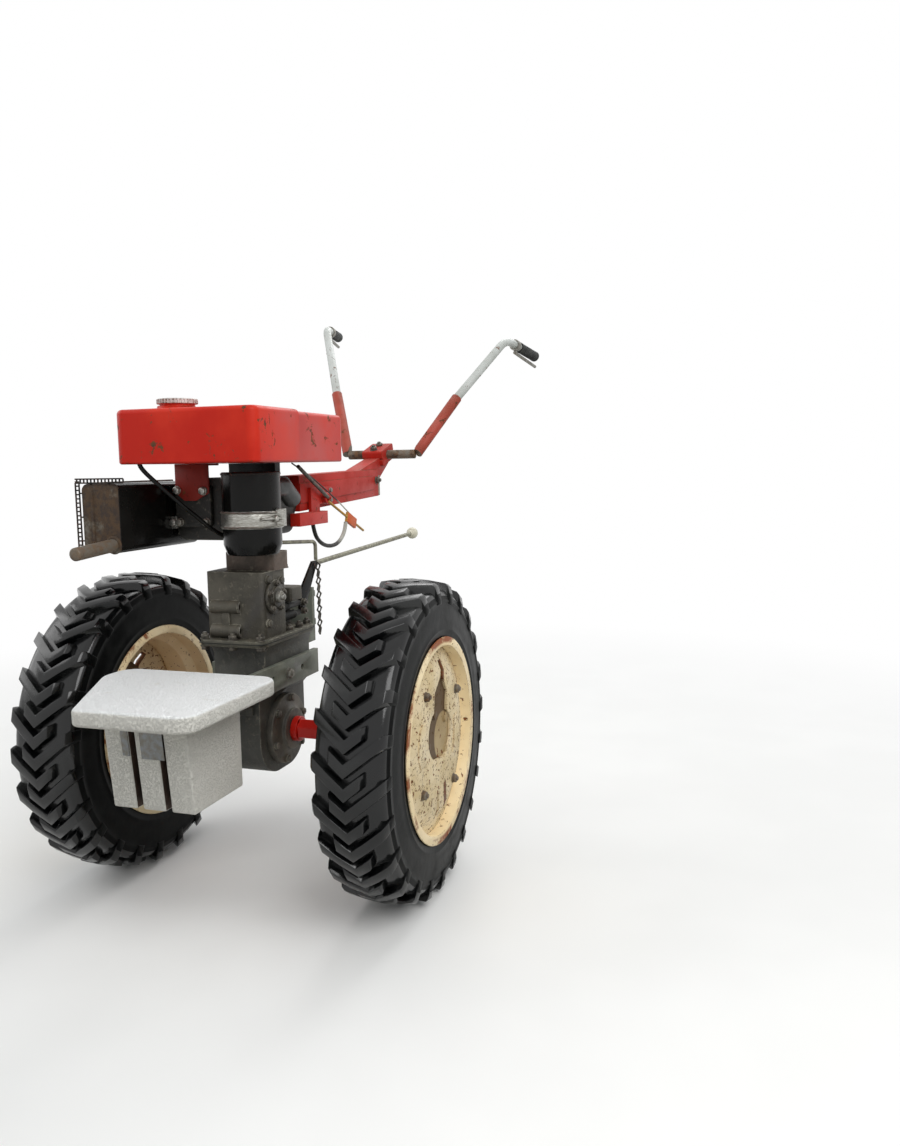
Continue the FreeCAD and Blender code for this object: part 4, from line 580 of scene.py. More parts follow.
class Coat(Enum):
    """Every finish on the machine."""

    TYRE = Rubber("dressed_tyre_rubber", black="#060708", dust="#2b2b28", dusting=0.08,
                  rough=0.12, gloss=0.46)
    TYRE_WALL = Rubber("tyre_wall_rubber", black="#0a0b0b", dust="#2b2b28", dusting=0.10,
                       rough=0.30, gloss=0.05)
    BOOT = Rubber("soft_boot_rubber", black="#171614", dust="#5a564b", dusting=0.5, rough=0.5)
    GRIP = Rubber("grip_rubber", black="#3c3e3d", dust="#8a8a84", dusting=0.6, rough=0.5)
    HOSE = Rubber("black_hose_rubber", black="#131312", dust="#4a463e", dusting=0.35, rough=0.34)
    STRAP = Rubber("greying_strap_rubber", black="#1b1a18", dust="#8d8b80", dusting=0.55,
                   rough=0.5, pale="#b9b7ac", pale_from=-0.100, pale_to=-0.135)
    LINE = Rubber("control_cable_cover", black="#191817", dust="#6b675c", dusting=0.4, rough=0.4,
                  pale="#cfcdc2", pale_from=-0.115, pale_to=-0.135)
    RIM = WornPaint("cream_wheel_paint", "#f8e4ba", "#ead2a4", "#6b4526", "#9c8f76", chips=0.7,
                    chip_scale=70, rough=0.42, dusting=0.12, edge=0.004,
                    rust_ring=(0.205, 0.212))
    DISC = WornPaint("speckled_disc_paint", "#e6d4b0", "#d6c094", "#5d452c", "#9c8f76",
                     chips=1.0, chip_scale=120, patch_scale=12, rough=0.5, dusting=0.12,
                     edge=0.005, strips=((-0.026, 0.009, 0.122, 0.168),
                                         (-0.028, 0.008, -0.159, -0.104)))
    DISC_RIGHT = replace(DISC, name="speckled_disc_paint_right", turn=math.radians(32))
    # its ring paints a dark shadow crescent on the front of the hub plate
    HUB = WornPaint("tan_hub_paint", "#b09a72", "#9c855e", "#57432b", "#8d7f68", chips=0.9,
                    chip_scale=60, rough=0.55, ring=(0.050, 0.055, 0.034))
    TANK = WornPaint("tank_red_paint", "#c02315", "#d03320", "#443d30", "#9a5a4c", chips=0.72,
                     chip_scale=22, patch_scale=5, rough=0.3, dusting=0.1, edge=0.005,
                     gloss=0.16)
    BRACKET = WornPaint("bracket_red_paint", "#8e2a20", "#6d241c", "#2b2420", "#6a5a50",
                        chips=0.7, chip_scale=60, rough=0.5)
    CONTROL_RED = WornPaint("control_red_paint", "#c22a1d", "#a92117", "#3a2c26", "#8f7a6a",
                            chips=0.6, chip_scale=60, rough=0.4, edge=0.002)
    HANDLE_RED = WornPaint("handle_red_paint", "#b82a1f", "#a6271c", "#5b463c", "#b08c80",
                           chips=0.6, chip_scale=42, rough=0.4, dusting=0.3, edge=0.004, gloss=0.16)
    TUBE_RED = WornPaint("faded_tube_paint", "#b04a3b", "#96402f", "#4d3a30", "#a58a7c",
                         chips=0.85, chip_scale=40, rough=0.5, dusting=0.3)
    STUB_RED = WornPaint("axle_red_paint", "#cc2015", "#b31a11", "#402e28", "#8f7a6a",
                         chips=0.15, rough=0.3, dusting=0.05)
    HANDLE_WHITE = WornPaint("handle_white_paint", "#d4d7d3", "#b9bcb6", "#5f594f", "#a09884",
                             chips=0.75, chip_scale=42, rough=0.34, dusting=0.1)
    CAP_SHEET = WornPaint("filler_cap_paint", "#d8d4cf", "#bdb5b0", "#5c463c", "#9a9284",
                          chips=0.75, chip_scale=90, rough=0.4, dusting=0.2, edge=0.003)
    WEIGHT = PebbledPaint("weight_white_paint", "#fbfcfa", "#dcdacf", grain=290.0)
    CAST = CastMetal("gearbox_cast_metal", "#524e44", "#38352d", edge=0.004)
    NECK = CastMetal("neck_cast_metal", "#6b5b50", "#463d35", "#2b2520", edge=0.004)
    FLANGE = CastMetal("flange_cast_metal", "#59574b", "#3c3a32", "#2a2722", edge=0.003)
    CAST_DARK = CastMetal("drive_cast_metal", "#5a5a55", "#42423e", edge=0.004, oil=0.35)
    BEARING = CastMetal("bearing_cast_metal", "#716d64", "#504d47", "#2d2a25", edge=0.004)
    ENGINE = CastMetal("engine_black_metal", "#252420", "#181714", "#12110f", shine=0.15,
                       edge=0.004)
    RAIL = CastMetal("rail_grey_green_paint", "#787c70", "#5f6359", "#3d3b33", grain=120,
                     depth=0.0004, rough=0.5, shine=0.3, oil=0.2, edge=0.003)
    GASKET = Rubber("dark_gasket", black="#211f1c", dust="#4f4a40", dusting=0.4, rough=0.6)
    BLACK = WornPaint("black_sheet_paint", "#0f0f0e", "#181715", "#4c4036", "#4a463e", chips=0.3,
                      rough=0.16, dusting=0.1, edge=0.002, lumps=0.0003, gloss=0.16)
    MUFFLER = BareSteel("muffler_brown_steel", "#40321f", "#4b3825", rusting=0.95, rough=0.72,
                        metal=0.05)
    RUSTY = BareSteel("rust_brown_steel", "#6e5c48", "#6a4c31", rusting=0.6, rough=0.6, metal=0.2)
    DARK_STEEL = BareSteel("dark_steel", "#3d3a36", "#4b382b", rusting=0.5, rough=0.5, metal=0.6)
    STEEL = BareSteel("plain_steel", "#8d8c86", "#6f5a45", rusting=0.3, rough=0.42, metal=0.6)
    WINDOW = BareSteel("grey_window_steel", "#7d8184", "#5d564c", rusting=0.3, rough=0.45,
                       metal=0.5)
    ZINC = BareSteel("bright_zinc_steel", "#c3c3bd", "#857a68", rusting=0.12, rough=0.3, metal=0.85,
                     brush=(1, 1, 12))
    LEVER = BareSteel("lever_bar_steel", "#9b9a86", "#7d6a4a", rusting=0.4, rough=0.5, metal=0.3)
    KNOB = WornPaint("knob_cream_plastic", "#dcd8c4", "#bdb79f", "#6f6850", "#8a8371", chips=0.25,
                     rough=0.36)
    WIRE = WornPaint("yellow_wire_coat", "#c79a4c", "#a8803d", "#5a4630", "#8a8371", chips=0.4,
                     rough=0.4)
    TAG = WornPaint("orange_tag_plastic", "#d0602a", "#b9521f", "#5a3a26", "#9a8371", chips=0.4,
                    chip_scale=70, rough=0.45)
    # painted shade: a dark colour laid inside the bosses' bores and the weight's slots
    SLOT = CastMetal("slot_brown_metal", "#4b3a30", "#33261f", "#241c17", shine=0.1)

    @property
    def material(self) -> Material:
        """The coat's material, built the first time it is asked for."""
        return bpy.data.materials.get(self.value.name) or self.value.build()


class Bench:
    """Modelling with Blender's own operators, one piece at a time."""

    @staticmethod
    def clear() -> None:
        """Leaves edit mode and deselects everything."""
        if bpy.context.mode != "OBJECT":
            bpy.ops.object.mode_set(mode="OBJECT")
        bpy.ops.object.select_all(action="DESELECT")

    @staticmethod
    def focus(obj: Object) -> Object:
        """Makes one object the only one selected and active."""
        Bench.clear()
        obj.select_set(True)
        bpy.context.view_layer.objects.active = obj
        return obj

    @staticmethod
    def settle(name: str) -> Object:
        """Names the new primitive and puts its place into its mesh.

        Args:
            name: The piece's name.

        Returns:
            The object, at the origin.
        """
        obj = bpy.context.view_layer.objects.active
        obj.name = name
        obj.data.name = name
        bpy.ops.object.transform_apply(location=True, rotation=True, scale=True)
        return obj

    @staticmethod
    def block(name: str, low: Point, high: Point) -> Object:
        """Adds a block between two corners.

        Args:
            name: Its name.
            low: Lowest corner in millimetres.
            high: Highest corner in millimetres.

        Returns:
            The block.
        """
        Bench.clear()
        a, b = at(*low), at(*high)
        bpy.ops.mesh.primitive_cube_add(size=1, location=(a + b) / 2, scale=b - a)
        return Bench.settle(name)

    @staticmethod
    def bar(name: str, start: Point, end: Point, radius: float, sides: int = 24,
            tip: Optional[float] = None) -> Object:
        """Adds a round or hexagonal bar, or a cone, between two points.

        Args:
            name: Its name.
            start: One end in millimetres.
            end: The other end.
            radius: Radius at the start in millimetres.
            sides: Corners around it.
            tip: Radius at the end, where it differs.

        Returns:
            The bar.
        """
        Bench.clear()
        a, b = at(*start), at(*end)
        turn = (b - a).to_track_quat("Z", "Y").to_euler()
        bpy.ops.mesh.primitive_cone_add(
            vertices=sides, radius1=radius * MM, radius2=(radius if tip is None else tip) * MM,
            depth=(b - a).length, location=(a + b) / 2, rotation=turn)
        return Bench.settle(name)

    @staticmethod
    def plate(name: str, outline: Sequence[Point], push: Point) -> Object:
        """Adds a flat plate with a drawn outline.

        Args:
            name: Its name.
            outline: Corners of one face in millimetres.
            push: The way and distance to the other face in millimetres.

        Returns:
            The plate.
        """
        Bench.clear()
        bpy.ops.mesh.primitive_circle_add(vertices=len(outline), radius=1, fill_type="NGON")
        obj = Bench.settle(name)
        for vertex, corner in zip(obj.data.vertices, outline):
            vertex.co = at(*corner)
        bpy.ops.object.mode_set(mode="EDIT")
        bpy.ops.mesh.select_all(action="SELECT")
        bpy.ops.mesh.extrude_region_move(
            TRANSFORM_OT_translate={"value": Vector(push) * MM})
        bpy.ops.mesh.select_all(action="SELECT")
        bpy.ops.mesh.normals_make_consistent(inside=False)
        bpy.ops.object.mode_set(mode="OBJECT")
        return obj

    @staticmethod
    def turned(name: str, centre: Point, axis: Point, profile: Sequence[Tuple[float, float]],
               steps: int = 48) -> Object:
        """Spins a drawn profile round an axis, as on a lathe.

        Args:
            name: The piece's name.
            centre: A point on the axis in millimetres.
            axis: The axis' direction.
            profile: Pairs of distance along the axis and radius, in millimetres.
            steps: Divisions around.

        Returns:
            The turned piece.
        """
        Bench.clear()
        bpy.ops.mesh.primitive_circle_add(vertices=len(profile), radius=1, fill_type="NOTHING")
        obj = Bench.settle(name)
        line = Vector(axis).normalized()
        side = line.orthogonal().normalized()
        middle = at(*centre)
        for vertex, (along, radius) in zip(obj.data.vertices, profile):
            vertex.co = middle + line * along * MM + side * radius * MM
        closed = profile[0][1] > 0.001 or profile[-1][1] > 0.001
        bpy.ops.object.mode_set(mode="EDIT")
        if not closed:
            Bench.pick(obj, Part.EDGE, lambda e: {v.index for v in e.verts} == {
                0, len(profile) - 1})
            bpy.ops.mesh.delete(type="EDGE")
        bpy.ops.mesh.select_all(action="SELECT")
        bpy.ops.mesh.spin(steps=steps, angle=math.tau, center=middle, axis=line, dupli=False)
        bpy.ops.mesh.select_all(action="SELECT")
        bpy.ops.mesh.remove_doubles(threshold=1e-6)
        bpy.ops.mesh.normals_make_consistent(inside=False)
        bpy.ops.object.mode_set(mode="OBJECT")
        return obj

    @staticmethod
    def loft(name: str, rings: Sequence[Sequence[Point]]) -> Object:
        """Extrudes a face through a row of drawn sections.

        Args:
            name: The piece's name.
            rings: The sections, each a list of equally many corners in millimetres.

        Returns:
            The closed piece.
        """
        Bench.clear()
        bpy.ops.mesh.primitive_circle_add(vertices=len(rings[0]), radius=1, fill_type="NGON")
        obj = Bench.settle(name)
        for vertex, corner in zip(obj.data.vertices, rings[0]):
            vertex.co = at(*corner)
        bpy.ops.object.mode_set(mode="EDIT")
        bpy.ops.mesh.select_all(action="SELECT")
        for before, after in zip(rings, rings[1:]):
            bpy.ops.mesh.extrude_region_move(TRANSFORM_OT_translate={"value": (0, 0, 0)})
            work = bmesh.from_edit_mesh(obj.data)
            old = [at(*p) for p in before]
            for vertex in [v for v in work.verts if v.select]:
                near = min(range(len(old)), key=lambda k: (old[k] - vertex.co).length)
                vertex.co = at(*after[near])
            bmesh.update_edit_mesh(obj.data)
        bpy.ops.mesh.select_all(action="SELECT")
        bpy.ops.mesh.normals_make_consistent(inside=False)
        bpy.ops.object.mode_set(mode="OBJECT")
        return obj

    @staticmethod
    def curve(name: str, points: Sequence[Point], radius: float, order: int, steps: int,
              detail: int) -> Object:
        """Draws a round line along a row of points.

        Args:
            name: Its name.
            points: The row in millimetres.
            radius: Its radius in millimetres.
            order: The smooth curve's order, or 1 for straight lines between the points.
            steps: Divisions from one point to the next.
            detail: Divisions of its round section.

        Returns:
            The curve object.
        """
        Bench.clear()
        bpy.ops.curve.primitive_nurbs_path_add()
        obj = Bench.settle(name)
        curve = obj.data
        curve.splines.clear()
        line = curve.splines.new("NURBS" if order > 1 else "POLY")
        line.points.add(len(points) - 1)
        for point, place in zip(line.points, points):
            point.co = (*at(*place), 1)
        if order > 1:
            line.order_u = order
            line.use_endpoint_u = True
        line.resolution_u = steps
        curve.bevel_depth = radius * MM
        curve.bevel_resolution = detail
        curve.use_fill_caps = True
        return obj

    @staticmethod
    def pipe(name: str, points: Sequence[Point], radius: float, sides: int = 12,
             order: int = 4) -> Object:
        """Runs a round pipe or rod along a line of points.

        Args:
            name: Its name.
            points: The line in millimetres.
            radius: Its radius in millimetres.
            sides: Corners around it.
            order: The smooth curve's order, or 1 for straight lines.

        Returns:
            The pipe as a mesh with closed ends.
        """
        Bench.curve(name, points, radius, order, 6, max(0, sides // 4 - 1))
        bpy.ops.object.convert(target="MESH")
        obj = bpy.context.view_layer.objects.active
        obj.name = name
        return obj

    @staticmethod
    def pick(obj: Object, kind: Part, test: Callable[[object], bool]) -> None:
        """Selects elements in edit mode by a test.

        Args:
            obj: The object in edit mode.
            kind: What is picked.
            test: Says whether an element is picked.
        """
        bpy.ops.mesh.select_mode(type=kind.value)
        bpy.ops.mesh.select_all(action="DESELECT")
        work = bmesh.from_edit_mesh(obj.data)
        for element in (work.edges if kind is Part.EDGE else work.faces):
            if test(element):
                element.select_set(True)
        work.select_flush_mode()
        bmesh.update_edit_mesh(obj.data)

    @staticmethod
    def sink(obj: Object, test: Callable[[object], bool], inset: float, depth: float = 0.0,
             each: bool = False) -> Object:
        """Insets some of a piece's faces.

        Args:
            obj: The piece.
            test: Says whether a face is one of them.
            inset: How far they step in from their edges, in millimetres.
            depth: How far they rise, negative to sink.
            each: Whether neighbours step in one by one.

        Returns:
            The same piece.
        """
        Bench.focus(obj)
        bpy.ops.object.mode_set(mode="EDIT")
        Bench.pick(obj, Part.FACE, test)
        bpy.ops.mesh.inset(thickness=inset * MM, depth=depth * MM, use_individual=each)
        bpy.ops.object.mode_set(mode="OBJECT")
        return obj

    @staticmethod
    def replica(node: str, name: str) -> Object:
        """Copies a frame node, with its flat triangles merged into whole faces.

        Args:
            node: The node's name.
            name: The copy's name.

        Returns:
            The merged copy.
        """
        Bench.clear()
        obj = bpy.data.objects.new(name, frame["nodes"][node].data.copy())
        obj.data.name = name
        obj.data.materials.clear()
        bpy.context.scene.collection.objects.link(obj)
        Bench.focus(obj)
        bpy.ops.object.mode_set(mode="EDIT")
        bpy.ops.mesh.select_all(action="SELECT")
        bpy.ops.mesh.remove_doubles(threshold=2e-6)
        bpy.ops.mesh.dissolve_limited(angle_limit=math.radians(1.0), delimit=set())
        bpy.ops.object.mode_set(mode="OBJECT")
        if obj.data.has_custom_normals:
            bpy.ops.mesh.customdata_custom_splitnormals_clear()
        return obj

    @staticmethod
    def smooth(obj: Object, angle: float) -> Object:
        """Shades a piece smooth, save where its faces meet at more than an angle in degrees."""
        Bench.focus(obj)
        bpy.ops.object.shade_smooth_by_angle(angle=math.radians(angle))
        return obj

    @staticmethod
    def soften(obj: Object, width: float, segments: int = 2, angle: float = 30.0) -> Object:
        """Rounds an object's edges and shades it smooth between them.

        Args:
            obj: The object.
            width: The rounding in millimetres.
            segments: Its steps.
            angle: The least angle that is rounded, in degrees.

        Returns:
            The same object.
        """
        Bench.focus(obj)
        made = obj.modifiers.new("edge", "BEVEL")
        made.width = width * MM
        made.segments = segments
        made.limit_method = "ANGLE"
        made.angle_limit = math.radians(angle)
        bpy.ops.object.modifier_apply(modifier=made.name)
        return Bench.smooth(obj, 38)

    @staticmethod
    def copies(obj: Object, places: Iterable[Matrix]) -> List[Object]:
        """Copies a piece to other places, each copy with its own mesh.

        Args:
            obj: The first piece.
            places: A matrix for each copy.

        Returns:
            The copies.
        """
        made = []
        for index, place in enumerate(places):
            twin = obj.copy()
            twin.data = obj.data.copy()
            twin.name = f"{obj.name}_{index + 2}"
            bpy.context.scene.collection.objects.link(twin)
            twin.data.transform(place)
            made.append(twin)
        return made

    @staticmethod
    def row(first: Object, step: Point, count: int) -> List[Object]:
        """Repeats a piece in a straight row.

        Args:
            first: The row's first piece.
            step: The way from one piece to the next in millimetres.
            count: How many pieces the row has.

        Returns:
            All of the row's pieces.
        """
        return [first] + Bench.copies(first, [
            Matrix.Translation([c * k * MM for c in step]) for k in range(1, count)])

    @staticmethod
    def merge(name: str, parts: Sequence[Object]) -> Object:
        """Joins pieces into one object.

        Args:
            name: The whole's name.
            parts: Its pieces.

        Returns:
            The whole.
        """
        Bench.clear()
        for part in parts:
            part.select_set(True)
        bpy.context.view_layer.objects.active = parts[0]
        if len(parts) > 1:
            bpy.ops.object.join()
        parts[0].name = name
        return parts[0]

    @staticmethod
    def hand_over(obj: Object, coat: Coat, slot: str, body: Body = Body.CHASSIS) -> Object:
        """Paints a finished piece and lets it ride on its body.

        Args:
            obj: The piece.
            coat: Its finish.
            slot: The record's slot, which is not used.
            body: The body that carries it.

        Returns:
            The piece.
        """
        obj.data.materials.clear()
        obj.data.materials.append(coat.material)
        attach(obj, body.value)
        LOG.info("%s: %d faces", obj.name, len(obj.data.polygons))
        return obj

    @staticmethod
    def stand_in(obj: Object, coat: Coat, node: str) -> Object:
        """Hands a piece over in place of a frame node, on the node's body.

        Args:
            obj: The piece.
            coat: Its finish.
            node: The node that it stands for.

        Returns:
            The piece.
        """
        Bench.hand_over(obj, coat, NODE_SLOTS[node], Body(NODE_BODIES[node]))
        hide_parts(node)
        return obj


def paint(node: str, coat: Coat) -> None:
    """Gives a frame node its finish.

    Args:
        node: The node's name.
        coat: Its finish.
    """
    for slot in frame["nodes"][node].material_slots:
        slot.material = coat.material


def tint(obj: Object, coat: Coat, test: Callable[[Vector], bool]) -> None:
    """Gives some of a piece's faces another finish.

    Args:
        obj: The piece.
        coat: The other finish.
        test: Picks a face by its middle, in millimetres about the axle.
    """
    obj.data.materials.append(coat.material)
    for face in obj.data.polygons:
        if test((face.center - AXLE) / MM):
            face.material_index = len(obj.data.materials) - 1


def refine(node: str, name: str, width: float, coat: Coat, segments: int = 3) -> Object:
    """Rounds a copy of a frame node and lets it stand for the node.

    Args:
        node: The frame node.
        name: The new piece's name.
        width: How far its edges are rounded.
        coat: Its finish.
        segments: Steps of the rounding.

    Returns:
        The new piece.
    """
    return Bench.stand_in(Bench.soften(Bench.replica(node, name), width, segments), coat, node)


@dataclass
class Bolts:
    """A set of equal bolts or nuts, each a chamfered hexagon on a washer."""

    name: str
    places: Sequence[Point]
    way: Point
    across: float = 17.0
    height: float = 8.0
    stud: float = 0.0
    coat: Coat = Coat.DARK_STEEL
    slot: str = "zinc_steel"
    body: Body = Body.CHASSIS
    washer_share: float = 0.62
    chamfer_share: float = 0.06
    stud_share: float = 0.29

    def build(self) -> Object:
        """Models one bolt, copies it to every place and hands the set over."""
        line = Vector(self.way).normalized()
        start = Vector(self.places[0])
        foot, seat, top = (tuple(start + line * d) for d in (-1.0, 2.0, 2.0 + self.height))
        washer = Bench.bar("washer", foot, seat, self.across * self.washer_share, 20)
        washer = Bench.soften(washer, 0.5, 1)
        head = Bench.bar("head", seat, top, self.across / math.sqrt(3), 6)
        bpy.ops.object.mode_set(mode="EDIT")
        Bench.pick(head, Part.FACE, lambda f: f.normal.dot(line) > 0.9)
        bpy.ops.mesh.bevel(offset=self.across * self.chamfer_share * MM, segments=1,
                           affect="EDGES")
        bpy.ops.object.mode_set(mode="OBJECT")
        parts = [Bench.soften(head, 0.5, 1), washer]
        if self.stud:
            tip = tuple(Vector(top) + line * self.stud)
            stud = Bench.bar("stud", seat, tip, self.across * self.stud_share, 14)
            parts.append(Bench.soften(stud, 0.6, 1))
        first = Bench.merge(self.name, parts)
        twins = Bench.copies(first, [Matrix.Translation((Vector(p) - start) * MM)
                                     for p in self.places[1:]])
        whole = Bench.merge(self.name, [first] + twins)
        return Bench.hand_over(whole, self.coat, self.slot, self.body)


def on_circle(centre: Point, radius: float, angles: Iterable[float]) -> List[Point]:
    """Gives places on an upright circle across the machine's width.

    Args:
        centre: The circle's middle.
        radius: Its radius.
        angles: Degrees from forward towards up.

    Returns:
        The places.
    """
    return [(centre[0] + radius * math.cos(math.radians(a)), centre[1],
             centre[2] + radius * math.sin(math.radians(a))) for a in angles]


@dataclass
class Wheel:
    """One driven wheel: lugged tyre, rim, dished disc, hub and bolts."""

    side: Side
    half_track: float = 346.5
    radius: float = 345.0
    steps: int = 144
    lugs: int = 24
    first_lug: float = 5.1
    row_shift: float = 7.5
    lug_run: float = 0.82
    lug_round: float = 2.0
    carcass: Sequence[Tuple[float, float]] = (
        (0, 325), (34, 324.4), (54, 323), (64, 320.6), (69.5, 316), (72.2, 309), (73.6, 302),
        (75.2, 299.6), (75.6, 297), (74.6, 294.6), (75.2, 284), (76.6, 268), (77.5, 252),
        (77.2, 241), (77.9, 238.8), (78, 236), (77, 233.6), (76.2, 226), (74.2, 217),
        (70, 210), (60, 206.4))
    # offset, radius and half width of the top, then radius and half width of the foot
    lug_line: Sequence[Tuple[float, float, float, float, float]] = (
        (77.4, 298, 10.5, 293, 12), (75.4, 316, 12, 292, 15), (71.5, 331, 12.8, 296, 17.5),
        (66, 337, 13, 308, 18), (35, 341.8, 13, 319, 18.5), (0, 344.8, 13, 320, 18.5),
        (-30, 343.4, 12.6, 320, 18), (-37, 331, 12, 319, 17.5))
    wall_top: float = 312.0
    wall_side: float = 56.0
    disc_face: float = 418.0
    bolt_circle: float = 142.0
    disc_bolts: Sequence[float] = (45.0, 135.0, 225.0, 315.0)
    pad_outline: Sequence[Tuple[float, float]] = (
        (88, -40), (120, -46), (134, -26), (136, 0), (134, 26), (120, 46), (88, 40), (96, 0))
    pad_sunk: float = 0.6
    pad_thickness: float = 3.0
    hub_face: float = 411.7
    hub_circle: float = 62.0
    hub_paint_from: float = 396.0

    @property
    def rest(self) -> float:
        """How far the wheel is turned in the photograph, in degrees."""
        return 8.0 if self.side is Side.LEFT else 40.0

    @property
    def out(self) -> Point:
        """The way out from the machine on this side."""
        return (0, self.side.value, 0)

    def build(self) -> None:
        """Builds and dresses the wheel."""
        self.tyre()
        self.disc()
        self.hub()

    def spot(self, radius: float, offset: float, angle: float) -> Point:
        """A place on the wheel, by radius, offset outwards and angle in degrees."""
        turn = math.radians(angle)
        return (radius * math.cos(turn), self.side.value * (self.half_track + offset),
                radius * math.sin(turn))

    def lug(self, toward: int, start: float) -> Object:
        """Models one lug along its bent line.

        Args:
            toward: The shoulder that its long arm runs to, 1 outwards or -1 inwards.
            start: The angle of its point in degrees.

        Returns:
            The lug.
        """
        degree = math.degrees(1 / self.radius)
        rings = []
        for offset, top, top_half, foot, foot_half in self.lug_line:
            middle = start + self.lug_run * degree * abs(offset)
            rings.append([self.spot(r, toward * offset, middle + way * half * degree)
                          for r, way, half in ((top, -1, top_half), (top, 1, top_half),
                                               (foot, 1, foot_half), (foot, -1, foot_half))])
        return Bench.soften(Bench.loft("lug", rings), self.lug_round, 2, 35)

    def tyre(self) -> None:
        """Turns the carcass and sets two rows of lugs on it."""
        profile = [(-o, r) for o, r in reversed(self.carcass[1:])] + list(self.carcass)
        name = f"lugged_tyre_{self.side.word}"
        body = Bench.turned(name, (0, self.side.value * self.half_track, 0), self.out, profile,
                            self.steps)
        parts = [Bench.smooth(body, 40)]
        pitch = 360 / self.lugs
        turns = [Matrix.Translation(AXLE) @ Matrix.Rotation(-math.radians(pitch * k), 4, "Y")
                 @ Matrix.Translation(-AXLE) for k in range(1, self.lugs)]
        for toward, start in ((1, self.first_lug), (-1, self.first_lug + self.row_shift)):
            first = self.lug(toward, start)
            parts += [first] + Bench.copies(first, turns)
        whole = Bench.stand_in(Bench.merge(name, parts), Coat.TYRE, f"tyre_{self.side.word}")
        tint(whole, Coat.TYRE_WALL, self.in_wall)

    def in_wall(self, middle: Vector) -> bool:
        """Whether a face belongs to the tyre's smooth wall."""
        return (abs(abs(middle.y) - self.half_track) > self.wall_side
                and math.hypot(middle.x, middle.z) < self.wall_top)

    def disc(self) -> None:
        """Rounds the pressed disc's and the rim's edges and bolts the disc to the hub."""
        word, wheel = self.side.word, self.side.wheel
        coat = Coat.DISC if self.side is Side.LEFT else Coat.DISC_RIGHT
        refine(f"wheel_disc_{word}", f"pressed_disc_{word}", 1.6, coat, 2)
        refine(f"rim_{word}", f"rolled_rim_{word}", 1.2, Coat.RIM, 2)
        centre = (0.0, self.side.value * self.disc_face, 0.0)
        spots = on_circle(centre, self.bolt_circle, [a + self.rest for a in self.disc_bolts])
        Bolts(f"disc_bolts_{word}", spots, self.out, 17, 7, 3.5, Coat.RUSTY, body=wheel).build()
        for index, angle in enumerate((self.rest, self.rest + 180)):
            Bench.hand_over(self.pad(f"disc_pad_{word}_{index + 1}", angle), coat,
                            "wheel_paint", wheel)

    def pad(self, name: str, angle: float) -> Object:
        """Models a flat reinforcing pad that is welded to the disc's face.

        Args:
            name: Its name.
            angle: Its place on the wheel in degrees.

        Returns:
            The pad.
        """
        spin = Matrix.Rotation(math.radians(angle), 2)
        y = self.side.value * (self.disc_face - self.pad_sunk)
        outline = [(p.x, y, p.y) for p in (spin @ Vector(corner) for corner in self.pad_outline)]
        push = (0, self.side.value * self.pad_thickness, 0)
        return Bench.soften(Bench.plate(name, outline, push), 1.0, 2)

    def hub(self) -> None:
        """Rounds the half axle: red outside the wheel, tan where the hub plate shows."""
        word = self.side.word
        stub = refine(f"half_axle_{word}", f"hub_and_axle_{word}", 1.5, Coat.STUB_RED)
        tint(stub, Coat.HUB, lambda m: abs(m.y) > self.hub_paint_from)
        spots = on_circle((0.0, self.side.value * self.hub_face, 0.0), self.hub_circle,
                          range(0, 360, 72))
        Bolts(f"hub_nuts_{word}", spots, self.out, 19, 3.0, 0, Coat.HUB, "wheel_paint",
              self.side.wheel).build()


